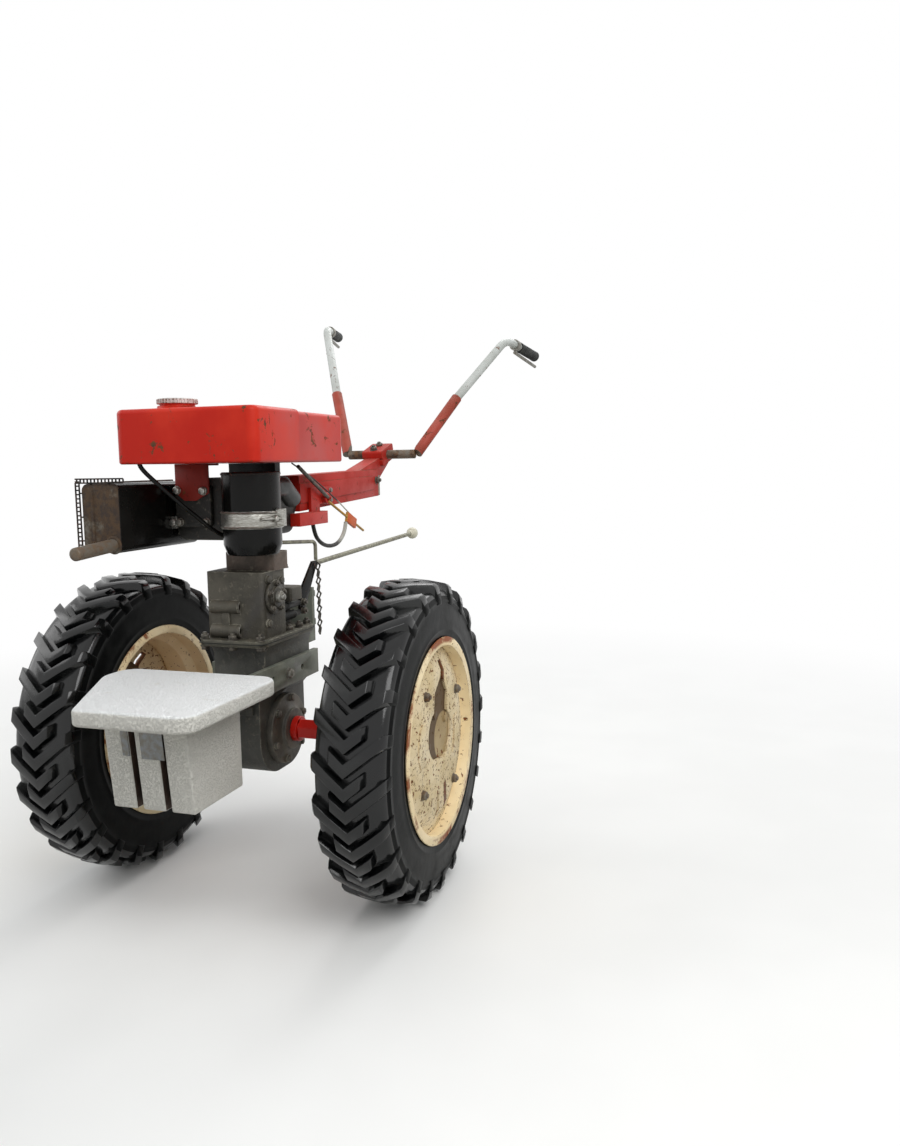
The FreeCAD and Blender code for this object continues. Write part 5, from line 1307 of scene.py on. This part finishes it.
@dataclass
class Drive:
    """The final drive, its bearing flanges, the rails and the hitch."""

    flange_bottom: float = 209.0
    flange_top: float = 223.0
    flange_bolts: Sequence[Tuple[float, float]] = (
        (129, 67), (129, 0), (129, -67), (-2, 66), (-96, 62), (-2, -66), (-96, -62),
        (-50, 66), (-50, -66))
    gasket_ends: Tuple[float, float] = (-112.9, 142.9)
    gasket_side: float = 80.9
    gasket_cut: float = 17.0
    gasket_foot: float = 215.2
    gasket_thickness: float = 1.8
    bearing_face: float = 58.0
    bearing_circle: float = 69.0
    bearing_bolts: Sequence[float] = (41.0, 101.0, 161.0, 221.0, 281.0, 341.0)
    rail_face: float = 80.0
    rail_height: float = 135.0
    bush_gap: float = 82.9

    def build(self) -> None:
        """Builds and dresses the lower transmission."""
        refine("final_drive", "final_drive_casting", 4.0, Coat.CAST_DARK)
        refine("flange_plate", "flange_casting", 1.6, Coat.FLANGE, 2)
        self.gasket()
        top, bottom = ([(x, y, z) for x, y in self.flange_bolts]
                       for z in (self.flange_top, self.flange_bottom))
        Bolts("flange_nuts", top, (0, 0, 1), 17, 8, 5).build()
        Bolts("flange_bolt_heads", bottom[:3], (0, 0, -1), 17, 7).build()
        for side in Side:
            self.side_parts(side)
        refine("weight_carrier", "weight_carrier_bar", 3.0, Coat.CAST_DARK)
        self.rear_hitch()

    def gasket(self) -> None:
        """Lays the dark joint that parts the flange in two layers."""
        (x0, x1), y, cut = self.gasket_ends, self.gasket_side, self.gasket_cut
        outline = [(x0 + cut, -y), (x1 - cut, -y), (x1 - 4, -y + 4.5), (x1, -y + cut),
                   (x1, y - cut), (x1 - 4, y - 4.5), (x1 - cut, y), (x0 + cut, y),
                   (x0 + 4, y - 4.5), (x0, y - cut), (x0, -y + cut), (x0 + 4, -y + 4.5)]
        plate = Bench.plate("flange_gasket", [(a, b, self.gasket_foot) for a, b in outline],
                            (0, 0, self.gasket_thickness))
        Bench.hand_over(Bench.soften(plate, 0.4, 1), Coat.GASKET, "black_rubber")

    def side_parts(self, side: Side) -> None:
        """Dresses one bearing flange and one rail.

        Args:
            side: The side.
        """
        word, out = side.word, (0, side.value, 0)
        refine(f"bearing_flange_{word}", f"bearing_cover_{word}", 1.6, Coat.BEARING)
        ring = on_circle((0.0, side.value * self.bearing_face, 0.0), self.bearing_circle,
                         self.bearing_bolts)
        Bolts(f"bearing_bolts_{word}", ring, out, 14, 6, 0, Coat.BEARING, "cast_metal").build()
        refine(f"side_rail_{word}", f"bored_rail_{word}", 1.4, Coat.RAIL, 2)
        holes = [(x, side.value * self.rail_face, self.rail_height)
                 for x in ((36.0,) if side is Side.LEFT else (36.0, -32.0))]
        Bolts(f"rail_bolts_{word}", holes, out, 19, 8, 4, Coat.STEEL).build()

    def rear_hitch(self) -> None:
        """Dresses the hitch and its chain."""
        refine("hitch_bracket", "hitch_weldment", 2.0, Coat.RAIL, 2)
        paint("hitch_chain", Coat.DARK_STEEL)
        bush = Bench.turned("pin_bushes", (-220.0, 0.0, 205.0), (0, 0, 1),
                            ((-7.6, 10.2), (-7.6, 16), (-6.4, 17.4), (-5.2, 16), (-5.2, 10.2)), 32)
        whole = Bench.merge("pin_bushes", Bench.row(bush, (0, 0, self.bush_gap), 2))
        Bench.hand_over(whole, Coat.STEEL, "zinc_steel")


@dataclass
class Gearbox:
    """The upright gearbox with its rear case, selector, boots and levers."""

    boss_heights: Tuple[float, float] = (291.0, 239.0)
    boss_x: float = 111.0
    boss_face: float = 12.0
    bore_radius: float = 7.6
    cover: Point = (72.0, 76.0, 310.0)
    cover_circle: float = 30.0
    cover_bolts: Sequence[float] = (21.0, 93.0, 165.0, 237.0, 309.0)
    # height, front end and rear end of each boot
    boot_rows: Sequence[Tuple[float, float, float]] = ((270.0, 11.7, -50.0), (248.0, -8.0, -84.0))
    boot_radius: float = 10.4
    boot_side: float = 37.0
    shaft_radius: float = 6.4
    shaft_run: float = 108.0
    pleat: float = 7.0
    knob_from: float = -838.0
    lever_foot: Tuple[float, float] = (-199.0, 362.0)

    def build(self) -> None:
        """Builds and dresses the gearbox."""
        case = refine("gearbox_case", "gearbox_casting", 5.0, Coat.CAST)
        # painted shade: the faces inside the bosses' bores are coloured dark
        tint(case, Coat.SLOT, self.in_bore)
        refine("engine_neck", "neck_casting", 4.0, Coat.NECK)
        refine("gearbox_rear_case", "rear_casting", 4.0, Coat.CAST)
        refine("selector_housing", "selector_casting", 3.0, Coat.CAST)
        refine("side_cover", "side_cover_casting", 1.5, Coat.CAST)
        self.front()
        self.flank()
        self.boots()
        self.levers()

    def in_bore(self, middle: Vector) -> bool:
        """Whether a face lies inside one of the bosses' bores."""
        return -30 < middle.y < self.boss_face - 0.4 and any(
            math.hypot(middle.x - self.boss_x, middle.z - h) < self.bore_radius
            for h in self.boss_heights)

    def front(self) -> None:
        """Adds the web between the two bored bosses."""
        high, low = self.boss_heights
        web = Bench.block("boss_web", (112.0, -30.0, low + 11), (119.0, -12.0, high - 11))
        Bench.sink(web, lambda f: abs(f.normal.z) > 0.9, 1.5, each=True)
        Bench.hand_over(Bench.soften(web, 2.0, 3), Coat.CAST, "cast_metal")
        face = Bench.turned("boss_faces", (self.boss_x, self.boss_face, high), (0, 1, 0),
                            ((-1.6, 8), (-1.6, 12.6), (0.4, 12.6), (1.0, 12.0), (1.0, 8.6),
                             (0.4, 8)), 40)
        pair = Bench.merge("boss_faces", Bench.row(face, (0, 0, low - high), 2))
        Bench.hand_over(pair, Coat.STEEL, "zinc_steel")

    def flank(self) -> None:
        """Bolts the side cover, the neck and the plugs on the gearbox's left."""
        ring = on_circle(self.cover, self.cover_circle, self.cover_bolts)
        Bolts("side_cover_bolts", ring, (0, 1, 0), 12, 5, 3).build()
        Bolts("gearbox_plugs", [(100, 70, 256), (40, 70, 342), (96, 70, 350)], (0, 1, 0),
              15, 6, 0, Coat.CAST, "cast_metal").build()
        Bolts("neck_bolts", [(8, 66, 366.3), (36, 66, 366.3), (74, 60, 366.3)], (0, 0, 1),
              13, 6, 4).build()
        x, y, z = self.cover
        stud = Bench.turned("shaft_end", (x, y + 12, z), (0, 1, 0),
                            ((-7, 0), (-7, 13), (2, 13), (3.4, 11.6), (3.4, 7), (9, 6.6),
                             (10, 5.6), (10, 0)), 32)
        Bench.hand_over(Bench.soften(stud, 0.4, 1), Coat.STEEL, "zinc_steel")

    def boots(self) -> None:
        """Turns the pleated boots on the two lever shafts."""
        parts = []
        crest, shaft = self.boot_radius, self.shaft_radius
        for height, front, rear in self.boot_rows:
            profile = [(0.0, 0.0), (0.0, 9.6), (4.0, 10.2), (6.0, 8.6)]
            along = 9.0
            while front - along - self.pleat > rear:
                profile += [(along, crest - 2.6), (along + self.pleat * 0.35, crest),
                            (along + self.pleat * 0.6, crest)]
                along += self.pleat
            end = front + self.shaft_run
            profile += [(along, shaft + 1), (end, shaft), (end + 1.6, shaft - 1.4),
                        (end + 1.6, 0.0)]
            boot = Bench.turned("boot", (front, self.boot_side, height), (-1, 0, 0), profile, 32)
            parts.append(Bench.smooth(boot, 50))
        Bench.stand_in(Bench.merge("pleated_boots", parts), Coat.BOOT, "lever_boots")
        Bolts("lever_pivot_nuts", [(-121.0, 40.4, 270.0), (-121.0, 40.4, 250.0)], (0, 1, 0),
              15, 7, 4).build()

    def levers(self) -> None:
        """Dresses the gear lever, its stay and its knob."""
        lever = refine("gear_lever", "gear_lever_bar", 1.2, Coat.LEVER, 2)
        tint(lever, Coat.KNOB, lambda m: m.x < self.knob_from)
        rear, top = self.lever_foot
        tint(lever, Coat.BLACK, lambda m: m.x > rear and m.z < top)
        refine("lever_stay", "lever_stay_rod", 0.8, Coat.LEVER, 2)
        ring = Bench.turned("knob_collar", (-842.0, 44.7, 377.0), (-0.996, 0.018, 0.036),
                            ((-6, 6.2), (-5, 9), (4, 10.5), (7, 8), (7, 6.2)), 32)
        Bench.hand_over(Bench.soften(ring, 0.5, 1), Coat.KNOB, "lever_metal")


@dataclass
class FrontWeight:
    """The cast weight in front, with its overhanging cap."""

    rake_foot: Tuple[float, float] = (428.0, -46.0)
    rake_top: Tuple[float, float] = (450.0, 147.7)
    windows: Sequence[Tuple[float, float, float, float]] = ((-53.0, -37.4, 60.0, 147.5),
                                                           (-12.0, 37.0, 57.0, 147.5))
    slots: Sequence[Tuple[float, float]] = ((-37.4, -23.6), (24.6, 38.4))
    slot_foot: float = -45.0
    window_sunk: float = 0.4
    window_thickness: float = 1.6

    def build(self) -> None:
        """Builds and dresses the weight."""
        refine("weight_cap", "weight_cap_casting", 7.0, Coat.WEIGHT, 4)
        body = refine("weight_body", "weight_body_casting", 4.0, Coat.WEIGHT, 4)
        # painted shade: the faces inside the two slots are coloured dark
        tint(body, Coat.SLOT, self.in_slot)
        for index, (y0, y1, z0, z1) in enumerate(self.windows):
            outline = [(self.face(z), y, z) for y, z in ((y0, z0), (y1, z0), (y1, z1), (y0, z1))]
            plate = Bench.plate(f"weight_window_{index + 1}", outline,
                                (self.window_thickness, 0, 0))
            Bench.hand_over(Bench.soften(plate, 0.5, 2), Coat.WINDOW, "zinc_steel")

    def face(self, height: float) -> float:
        """How far forward the raked face stands at a height, less what the windows sink in."""
        (x0, z0), (x1, z1) = self.rake_foot, self.rake_top
        return x0 + (x1 - x0) * (height - z0) / (z1 - z0) - self.window_sunk

    def in_slot(self, middle: Vector) -> bool:
        """Whether a face lies inside one of the two slots."""
        inside = any(low < middle.y < high for low, high in self.slots)
        return (inside and middle.x < self.face(middle.z) - 1.0
                and middle.z > self.slot_foot)


@dataclass
class Engine:
    """The engine with its cowl, air cleaner, muffler and tank."""

    cleaner: Tuple[float, float] = (106.0, 46.0)
    cleaner_radius: float = 61.0
    band_height: float = 481.0
    band_lip: float = 464.0
    band_width: float = 30.0
    can_seam: float = 574.0
    screw_at: float = 64.0
    screw_half: float = 24.0
    fin_pitch: float = 9.0
    fins_in_stack: int = 13
    stay_route: Sequence[Point] = (
        (262, -113, 598), (261, -112, 590), (246, -103, 572), (215, -86, 541), (185, -69, 510),
        (150, -56, 484), (120, -36, 451), (88, -20, 436))
    # the seam's place across, its start and front end, its foot and its top
    seam: Tuple[float, float, float, float, float] = (-212.0, 8.0, 285.6, 419.4, 560.6)
    # the muffler is painted black as shade on its inner side, and behind its front end but for the
    # outer side
    black_inner: float = -152.6
    black_behind: Tuple[float, float] = (262.0, -232.0)
    guard_x: float = 286.0
    guard_sides: Tuple[float, float] = (-241.0, -250.0)
    guard_tops: Tuple[float, float] = (561.5, 569.5)
    guard_pitch: float = 8.5
    guard_wire: float = 1.7
    filler: Point = (203.0, -58.0, 716.0)
    cap_notches: int = 36
    tank_widening: float = 1.055

    def build(self) -> None:
        """Builds and dresses the engine."""
        for node in ("engine_block", "engine_cover", "fan_cowl"):
            refine(node, node + "_casting", 4.0, Coat.ENGINE)
        Bolts("cover_bolts", [(106.3, y, z) for y in (-130, -64) for z in (472, 540)],
              (1, 0, 0), 15, 7, 0, Coat.STEEL).build()
        self.fins()
        self.bracket()
        self.air_cleaner()
        self.exhaust()
        self.guard()
        self.tank()
        stay = Bench.smooth(Bench.pipe("engine_stay", self.stay_route, 4.6, 16), 50)
        Bench.hand_over(stay, Coat.BLACK, "black_paint")

    def fins(self) -> None:
        """Stacks cooling fins on the cylinder's right side."""
        fin = Bench.block("fin", (-96.0, -151.5, 444.0), (84.0, -143.0, 447.0))
        Bench.soften(Bench.sink(fin, lambda f: f.normal.y < -0.9, 0.6), 0.8, 2)
        stack = Bench.row(fin, (0, 0, self.fin_pitch), self.fins_in_stack)
        Bench.hand_over(Bench.merge("cooling_fins", stack), Coat.ENGINE, "engine_metal")

    def bracket(self) -> None:
        """Dresses the tank's brackets and the grey tab beside them."""
        refine("tank_bracket_front", "tank_bracket_plate", 1.0, Coat.BRACKET, 2)
        paint("tank_bracket_rear", Coat.BLACK)
        Bolts("tank_bracket_bolts", [(110.6, -131, 541), (110.6, -67, 539)], (1, 0, 0), 15, 6, 0,
              Coat.ZINC).build()
        tab = Bench.block("muffler_tab", (99.0, -184.0, 458.0), (107.0, -138.0, 484.0))
        Bench.sink(tab, lambda f: f.normal.x > 0.9, 2.0, -0.6)
        Bench.hand_over(Bench.soften(tab, 1.5, 2), Coat.ZINC, "zinc_steel")
        Bolts("tab_bolts", [(106.5, -146, 471)], (1, 0, 0), 15, 6, 0, Coat.ZINC).build()

    def air_cleaner(self) -> None:
        """Dresses the air cleaner: glossy can and bowl, a lipped clamp band, the elbow."""
        refine("air_cleaner_can", "air_cleaner_upper", 2.5, Coat.BLACK, 4)
        refine("air_cleaner_bowl", "air_cleaner_lower", 3.0, Coat.BLACK, 4)
        paint("intake_elbow", Coat.HOSE)
        refine("air_cleaner_band", "clamp_band", 1.0, Coat.ZINC, 2)
        low = self.cleaner_radius + 0.4
        lip = Bench.turned("band_lip", (*self.cleaner, self.band_lip), (0, 0, 1),
                           ((-2.4, low), (-2.4, low + 3), (0, low + 5), (2.4, low + 3),
                            (2.4, low)), 96)
        lips = Bench.row(Bench.smooth(lip, 60), (0, 0, self.band_width), 2)
        Bench.hand_over(Bench.merge("band_lips", lips), Coat.ZINC, "zinc_steel")
        seam = Bench.turned("can_seam", (*self.cleaner, self.can_seam), (0, 0, 1),
                            ((-2.2, low - 2), (-2.2, low + 0.4), (0, low + 1.2),
                             (2.2, low + 0.4), (2.2, low - 2)), 96)
        Bench.hand_over(Bench.smooth(seam, 60), Coat.BLACK, "black_paint")
        self.band_screw(low + 6)

    def band_screw(self, reach: float) -> None:
        """Closes the clamp band with a screw and its nut.

        Args:
            reach: The screw's distance from the air cleaner's middle.
        """
        x, y = self.cleaner
        turn = math.radians(self.screw_at)
        hold = Vector((x + reach * math.cos(turn), y + reach * math.sin(turn), self.band_height))
        span = Vector((-math.sin(turn), math.cos(turn), 0)) * self.screw_half
        start, end, near, far = (tuple(hold + span * s) for s in (-1, 1, 0.3, 0.62))
        rod = Bench.soften(Bench.bar("band_screw", start, end, 3.2, 16), 0.5, 1)
        nut = Bench.soften(Bench.bar("band_nut", near, far, 8.0, 6), 0.6, 1)
        Bench.hand_over(Bench.merge("band_screw", [rod, nut]), Coat.ZINC, "zinc_steel")

    def exhaust(self) -> None:
        """Dresses the muffler with its rolled seam and its pipes."""
        muffler = refine("muffler", "muffler_box", 7.0, Coat.MUFFLER, 4)
        # painted shade: the muffler's inner side and its faces behind the front end, but for the
        # outer side, take the black coat
        tint(muffler, Coat.BLACK, self.in_shade)
        y, x0, x1, z0, z1 = self.seam
        line = [(x0, z1), (90, z1), (x1 - 22, z1), (x1 - 8, z1 - 1.5), (x1 - 1.5, z1 - 8),
                (x1, z1 - 22), (x1, (z0 + z1) / 2), (x1, z0 + 22), (x1 - 1.5, z0 + 8),
                (x1 - 8, z0 + 1.5), (x1 - 22, z0), (90, z0), (x0, z0)]
        seam = Bench.pipe("muffler_seam", [(x, y, z) for x, z in line], 2.6, 12)
        Bench.hand_over(Bench.smooth(seam, 50), Coat.MUFFLER, "rusty_steel")
        refine("tailpipe", "tailpipe_tube", 4.0, Coat.RUSTY, 4)
        weld = Bench.turned("tailpipe_weld", (286.5, -165.0, 437.0), (0.998, 0, -0.068),
                            ((-1.5, 12), (-1.5, 18.2), (0.8, 18.8), (2.6, 17.4), (3.2, 14.6),
                             (3.2, 12)), 36)
        Bench.hand_over(Bench.soften(weld, 0.6, 2), Coat.MUFFLER, "rusty_steel")
        refine("exhaust_stub", "exhaust_stub_pipe", 1.5, Coat.RUSTY)

    def in_shade(self, middle: Vector) -> bool:
        """Whether a face of the muffler is painted black as shade."""
        front, side = self.black_behind
        return middle.y > self.black_inner or (middle.x < front and middle.y > side)

    def wire(self, start: Point, end: Point) -> Object:
        """Models one straight wire of the guard."""
        return Bench.pipe("guard_wire", (start, end), self.guard_wire, 8, 1)

    def guard(self) -> None:
        """Welds the ladder of guard wires along the muffler's outer edge and top."""
        x, (inner, outer), (low, high) = self.guard_x, self.guard_sides, self.guard_tops
        wires = [self.wire((x, y, 424), (x, y, 562)) for y in (inner, outer)]
        wires += [self.wire((x, outer, z), (x, -136, z)) for z in (low, high)]
        wires += [self.wire((x, inner, z), (x - 10, -232, z)) for z in (445, 493, 541)]
        wires += [self.wire((x, y, low), (x - 14, y, 556)) for y in (-215, -172)]
        rung = self.wire((x, inner, 428), (x, outer, 428))
        wires += Bench.row(rung, (0, 0, self.guard_pitch), 17)
        post = self.wire((x, -246, low), (x, -246, high))
        wires += Bench.row(post, (0, self.guard_pitch, 0), 14)
        Bench.hand_over(Bench.merge("muffler_guard", wires), Coat.BLACK, "rusty_steel")

    def tank(self) -> None:
        """Dresses the tank and its notched filler cap."""
        shell = refine("fuel_tank", "fuel_tank_shell", 3.0, Coat.TANK)
        shell.data.transform(Matrix.Diagonal((1.0, self.tank_widening, 1.0, 1.0)))
        neck = Bench.turned("filler_neck", self.filler, (0, 0, 1),
                            ((-6, 0), (-6, 36), (-3.6, 34.6), (0.4, 34.6), (0.4, 0)), 60)
        Bench.hand_over(Bench.smooth(neck, 40), Coat.TANK, "red_paint")
        cap = Bench.turned("notched_cap", self.filler, (0, 0, 1),
                           ((0, 0), (0, 39.4), (0.8, 40.6), (8.4, 40.6), (10.2, 39), (10.6, 36.4),
                            (9.6, 33), (9.8, 20), (11.4, 17), (11.6, 0)), 2 * self.cap_notches)
        Bench.smooth(Bench.sink(cap, self.in_notch, 0.5, -1.6, each=True), 30)
        Bench.stand_in(cap, Coat.CAP_SHEET, "fuel_cap")

    def in_notch(self, face: bmesh.types.BMFace) -> bool:
        """Whether a face of the cap is one of the notches round its rim."""
        away = face.calc_center_median() - at(*self.filler)
        place = math.degrees(math.atan2(away.y, away.x)) / (180 / self.cap_notches)
        return abs(face.normal.z) < 0.3 and round(place - 0.5) % 2 == 0


@dataclass
class Handlebar:
    """The beam, its clamp, the two handles and their grips."""

    # inner end, outer end of each grip
    grips: Dict[Side, Tuple[Point, Point]] = field(default_factory=lambda: {
        Side.LEFT: ((-1160.9, 312.8, 956.8), (-1270.0, 340.4, 936.4)),
        Side.RIGHT: ((-1091.3, -313.0, 1028.9), (-1202.3, -340.6, 1029.5))})
    rib_pitch: float = 6.2
    rust_within: float = 121.0

    def build(self) -> None:
        """Builds and dresses the handlebar."""
        refine("handle_beam", "beam_weldment", 2.6, Coat.HANDLE_RED)
        refine("clamp_block", "clamp_casting", 3.0, Coat.HANDLE_RED)
        refine("cross_tube", "cross_tube_bar", 1.5, Coat.RUSTY, 2)
        Bolts("clamp_bolts", [(-707.4, -12, 631.9), (-752.0, -12, 642.3)], (0.29, 0, 0.957), 17, 8,
              4).build()
        Bolts("beam_end_nut", [(-656, 14, 545)], (0, 1, 0), 17, 8, 5).build()
        strap = Bench.block("beam_end_strap", (-684.0, 4.0, 501.0), (-671.6, 14.0, 559.0))
        Bench.sink(strap, lambda f: f.normal.x < -0.9, 2, -0.8)
        Bench.hand_over(Bench.soften(strap, 1.2, 2), Coat.LEVER, "lever_metal")
        for side in Side:
            self.handle(side)

    def handle(self, side: Side) -> None:
        """Dresses one handle.

        Args:
            side: The side.
        """
        word = side.word
        lower = refine(f"handle_lower_{word}", f"lower_tube_{word}", 1.2, Coat.TUBE_RED, 2)
        tint(lower, Coat.RUSTY, lambda m: abs(m.y) < self.rust_within)
        refine(f"handle_upper_{word}", f"upper_tube_{word}", 0.8, Coat.HANDLE_WHITE, 2)
        self.grip(side)
        refine(f"hand_lever_{word}", f"pull_lever_{word}", 0.8, Coat.STEEL, 2)

    def grip(self, side: Side) -> None:
        """Turns a ribbed rubber grip.

        Args:
            side: The side.
        """
        start, end = (Vector(p) for p in self.grips[side])
        length = (end - start).length
        profile = [(0.0, 0.0), (0.0, 16.4), (1.4, 17.0), (6.0, 17.0), (7.0, 15.0)]
        along = 9.0
        while along < length - 14:
            profile += [(along, 15.0), (along + 1.0, 16.3), (along + 3.4, 16.3),
                        (along + 4.4, 15.0)]
            along += self.rib_pitch
        profile += [(length - 9, 15.2), (length - 7, 16.8), (length - 1.6, 16.8), (length, 15.0),
                    (length, 0.0)]
        grip = Bench.turned(f"ribbed_grip_{side.word}", tuple(start), tuple(end - start),
                            profile, 36)
        Bench.stand_in(Bench.smooth(grip, 38), Coat.GRIP, f"grip_{side.word}")


@dataclass
class Controls:
    """The throttle and choke controls on their red bracket, with the two cables."""

    pulley: Point = (-286.0, 33.2, 508.0)
    strap_route: Sequence[Point] = (
        (-200, 35.2, 447.4), (-208, 35.2, 423), (-231, 35.2, 404), (-262, 35.2, 391.5),
        (-300, 35.2, 386.5), (-338, 35.2, 390), (-368, 35.2, 405), (-386, 35.2, 424),
        (-391, 35.2, 441.6))
    cable_route: Sequence[Point] = (
        (-112, 30, 595.2), (-136, 30, 587), (-178, 30, 573.5), (-224, 30, 556), (-268, 30, 537.5),
        (-311, 31.5, 517), (-353, 34, 496), (-393, 35.2, 474.5), (-423, 35.2, 459.7))
    strap_width: float = 10.0
    cable_width: float = 3.4
    curve_share: float = 0.985
    tag_ends: Tuple[float, float] = (-452.0, -390.0)
    tag_middle: Point = (-421.0, 36.8, 445.0)
    tag_half: float = 6.0
    wire_slope: float = 0.404
    wire_room: Tuple[float, float] = (4.0, 3.3)

    def build(self) -> None:
        """Builds and dresses the controls."""
        refine("control_bracket", "control_tray", 2.8, Coat.CONTROL_RED)
        refine("throttle_rod", "throttle_bar", 1.0, Coat.DARK_STEEL, 2)
        wire = refine("choke_wire", "choke_wire_and_tag", 0.8, Coat.WIRE, 2)
        tint(wire, Coat.TAG, self.in_tag)
        wheel = Bench.turned("control_wheel", self.pulley, (0, 1, 0),
                             ((0, 0), (0, 13.4), (1.6, 14.4), (3.2, 13.2), (4.2, 10.2),
                              (3.4, 8.6), (3.4, 0)), 40)
        Bench.hand_over(Bench.soften(wheel, 0.4, 1), Coat.CONTROL_RED, "red_paint")
        Bolts("control_bolts", [(-286.0, 36.4, 508.0)], (0, 1, 0), 10, 4, 3, Coat.CONTROL_RED,
              "red_paint").build()
        Bolts("tray_bolts", [(-322.0, 25.3, z) for z in (527.0, 503.0)], (0, 1, 0), 10, 4, 0,
              Coat.STEEL).build()
        self.cord("control_strap", self.strap_route, self.strap_width, Coat.STRAP)
        self.cord("throttle_cable", self.cable_route, self.cable_width, Coat.LINE)

    def in_tag(self, middle: Vector) -> bool:
        """Whether a face belongs to the tag on the wire."""
        (rear, front), (x, y, z), (above, beside) = self.tag_ends, self.tag_middle, self.wire_room
        aside, wire = abs(middle.y - y), z + (middle.x - x) * self.wire_slope
        return rear < middle.x < front and aside < self.tag_half and (
            abs(middle.z - wire) > above or aside > beside)

    def cord(self, node: str, route: Sequence[Point], width: float, coat: Coat) -> None:
        """Args:
            node: The frame node that it stands for.
            route: Its control points in millimetres.
            width: Its diameter.
            coat: Its finish.
        """
        obj = Bench.curve(node + "_line", route, width / 2, 3, 16, 4)
        obj.data.materials.append(coat.material)
        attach(obj, NODE_BODIES[node])
        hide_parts(node)


@dataclass
class Studio:
    """The floor, the lights and the camera at the photograph's angle."""

    eye: Point = (2.1014, 1.0628, 0.3826)
    forward: Point = (-0.9440, -0.3096, -0.1144)
    right: Point = (-0.3097, 0.9507, -0.0168)
    up: Point = (-0.1139, -0.0195, 0.9933)
    focal_share: float = 948.617 / 1146
    floor_size: float = 40.0
    sky: float = 0.57

    def build(self) -> None:
        """Builds the studio."""
        self.camera()
        self.floor()
        self.lights()
        self.world()

    def camera(self) -> None:
        """Puts the camera where the photograph was taken."""
        data = bpy.data.cameras.new("view")
        data.sensor_fit = "VERTICAL"
        data.sensor_height = 36.0
        data.lens = 36.0 * self.focal_share
        data.clip_end = 200
        obj = bpy.data.objects.new("view", data)
        bpy.context.scene.collection.objects.link(obj)
        turn = Matrix((self.right, self.up, tuple(-c for c in self.forward))).transposed()
        obj.matrix_world = Matrix.Translation(self.eye) @ turn.to_4x4()
        bpy.context.scene.camera = obj

    def floor(self) -> None:
        """Lays the pale floor under the tyres."""
        Bench.clear()
        bpy.ops.mesh.primitive_plane_add(size=self.floor_size, location=at(0, 0, GROUND - 0.5))
        obj = Bench.settle("floor")
        obj.data.materials.append(Floor().build())

    def lights(self) -> None:
        """Hangs three soft lamps."""
        for name, place, size, watts in (
                ("key", (2.2, 2.6, 2.6), 2.6, 95.0),
                ("side", (1.0, -3.2, 1.8), 2.4, 40.0),
                ("back", (-2.6, 0.4, 2.9), 2.4, 55.0)):
            data = bpy.data.lights.new(name, "AREA")
            data.size = size
            data.energy = watts
            obj = bpy.data.objects.new(name, data)
            bpy.context.scene.collection.objects.link(obj)
            look = Vector((0.2, 0, -0.1)) - Vector(place)
            obj.matrix_world = (Matrix.Translation(place)
                                @ look.to_track_quat("-Z", "Y").to_matrix().to_4x4())

    def world(self) -> None:
        """Fills with sky light and shows white behind the object."""
        scene = bpy.context.scene
        scene.world = bpy.data.worlds.new("soft_sky")
        scene.world.use_nodes = True
        tree = scene.world.node_tree
        tree.nodes.clear()
        fill = tree.nodes.new("ShaderNodeBackground")
        fill.inputs["Color"].default_value = tone("#eef2f6")
        fill.inputs["Strength"].default_value = self.sky
        plain = tree.nodes.new("ShaderNodeBackground")
        plain.inputs["Color"].default_value = (1, 1, 1, 1)
        mix = tree.nodes.new("ShaderNodeMixShader")
        out = tree.nodes.new("ShaderNodeOutputWorld")
        tree.links.new(seen_by_eye(tree), mix.inputs[0])
        tree.links.new(fill.outputs[0], mix.inputs[1])
        tree.links.new(plain.outputs[0], mix.inputs[2])
        tree.links.new(mix.outputs[0], out.inputs["Surface"])
        scene.view_settings.view_transform = "Standard"


def main() -> None:
    """Builds the studio and every sub-assembly."""
    Studio().build()
    for assembly in (Controls(), Wheel(Side.LEFT), Wheel(Side.RIGHT), Drive(), Gearbox(),
                     FrontWeight(), Engine(), Handlebar()):
        LOG.info("building %s", type(assembly).__name__)
        assembly.build()
    Bench.clear()


if __name__ == "__main__":
    main()
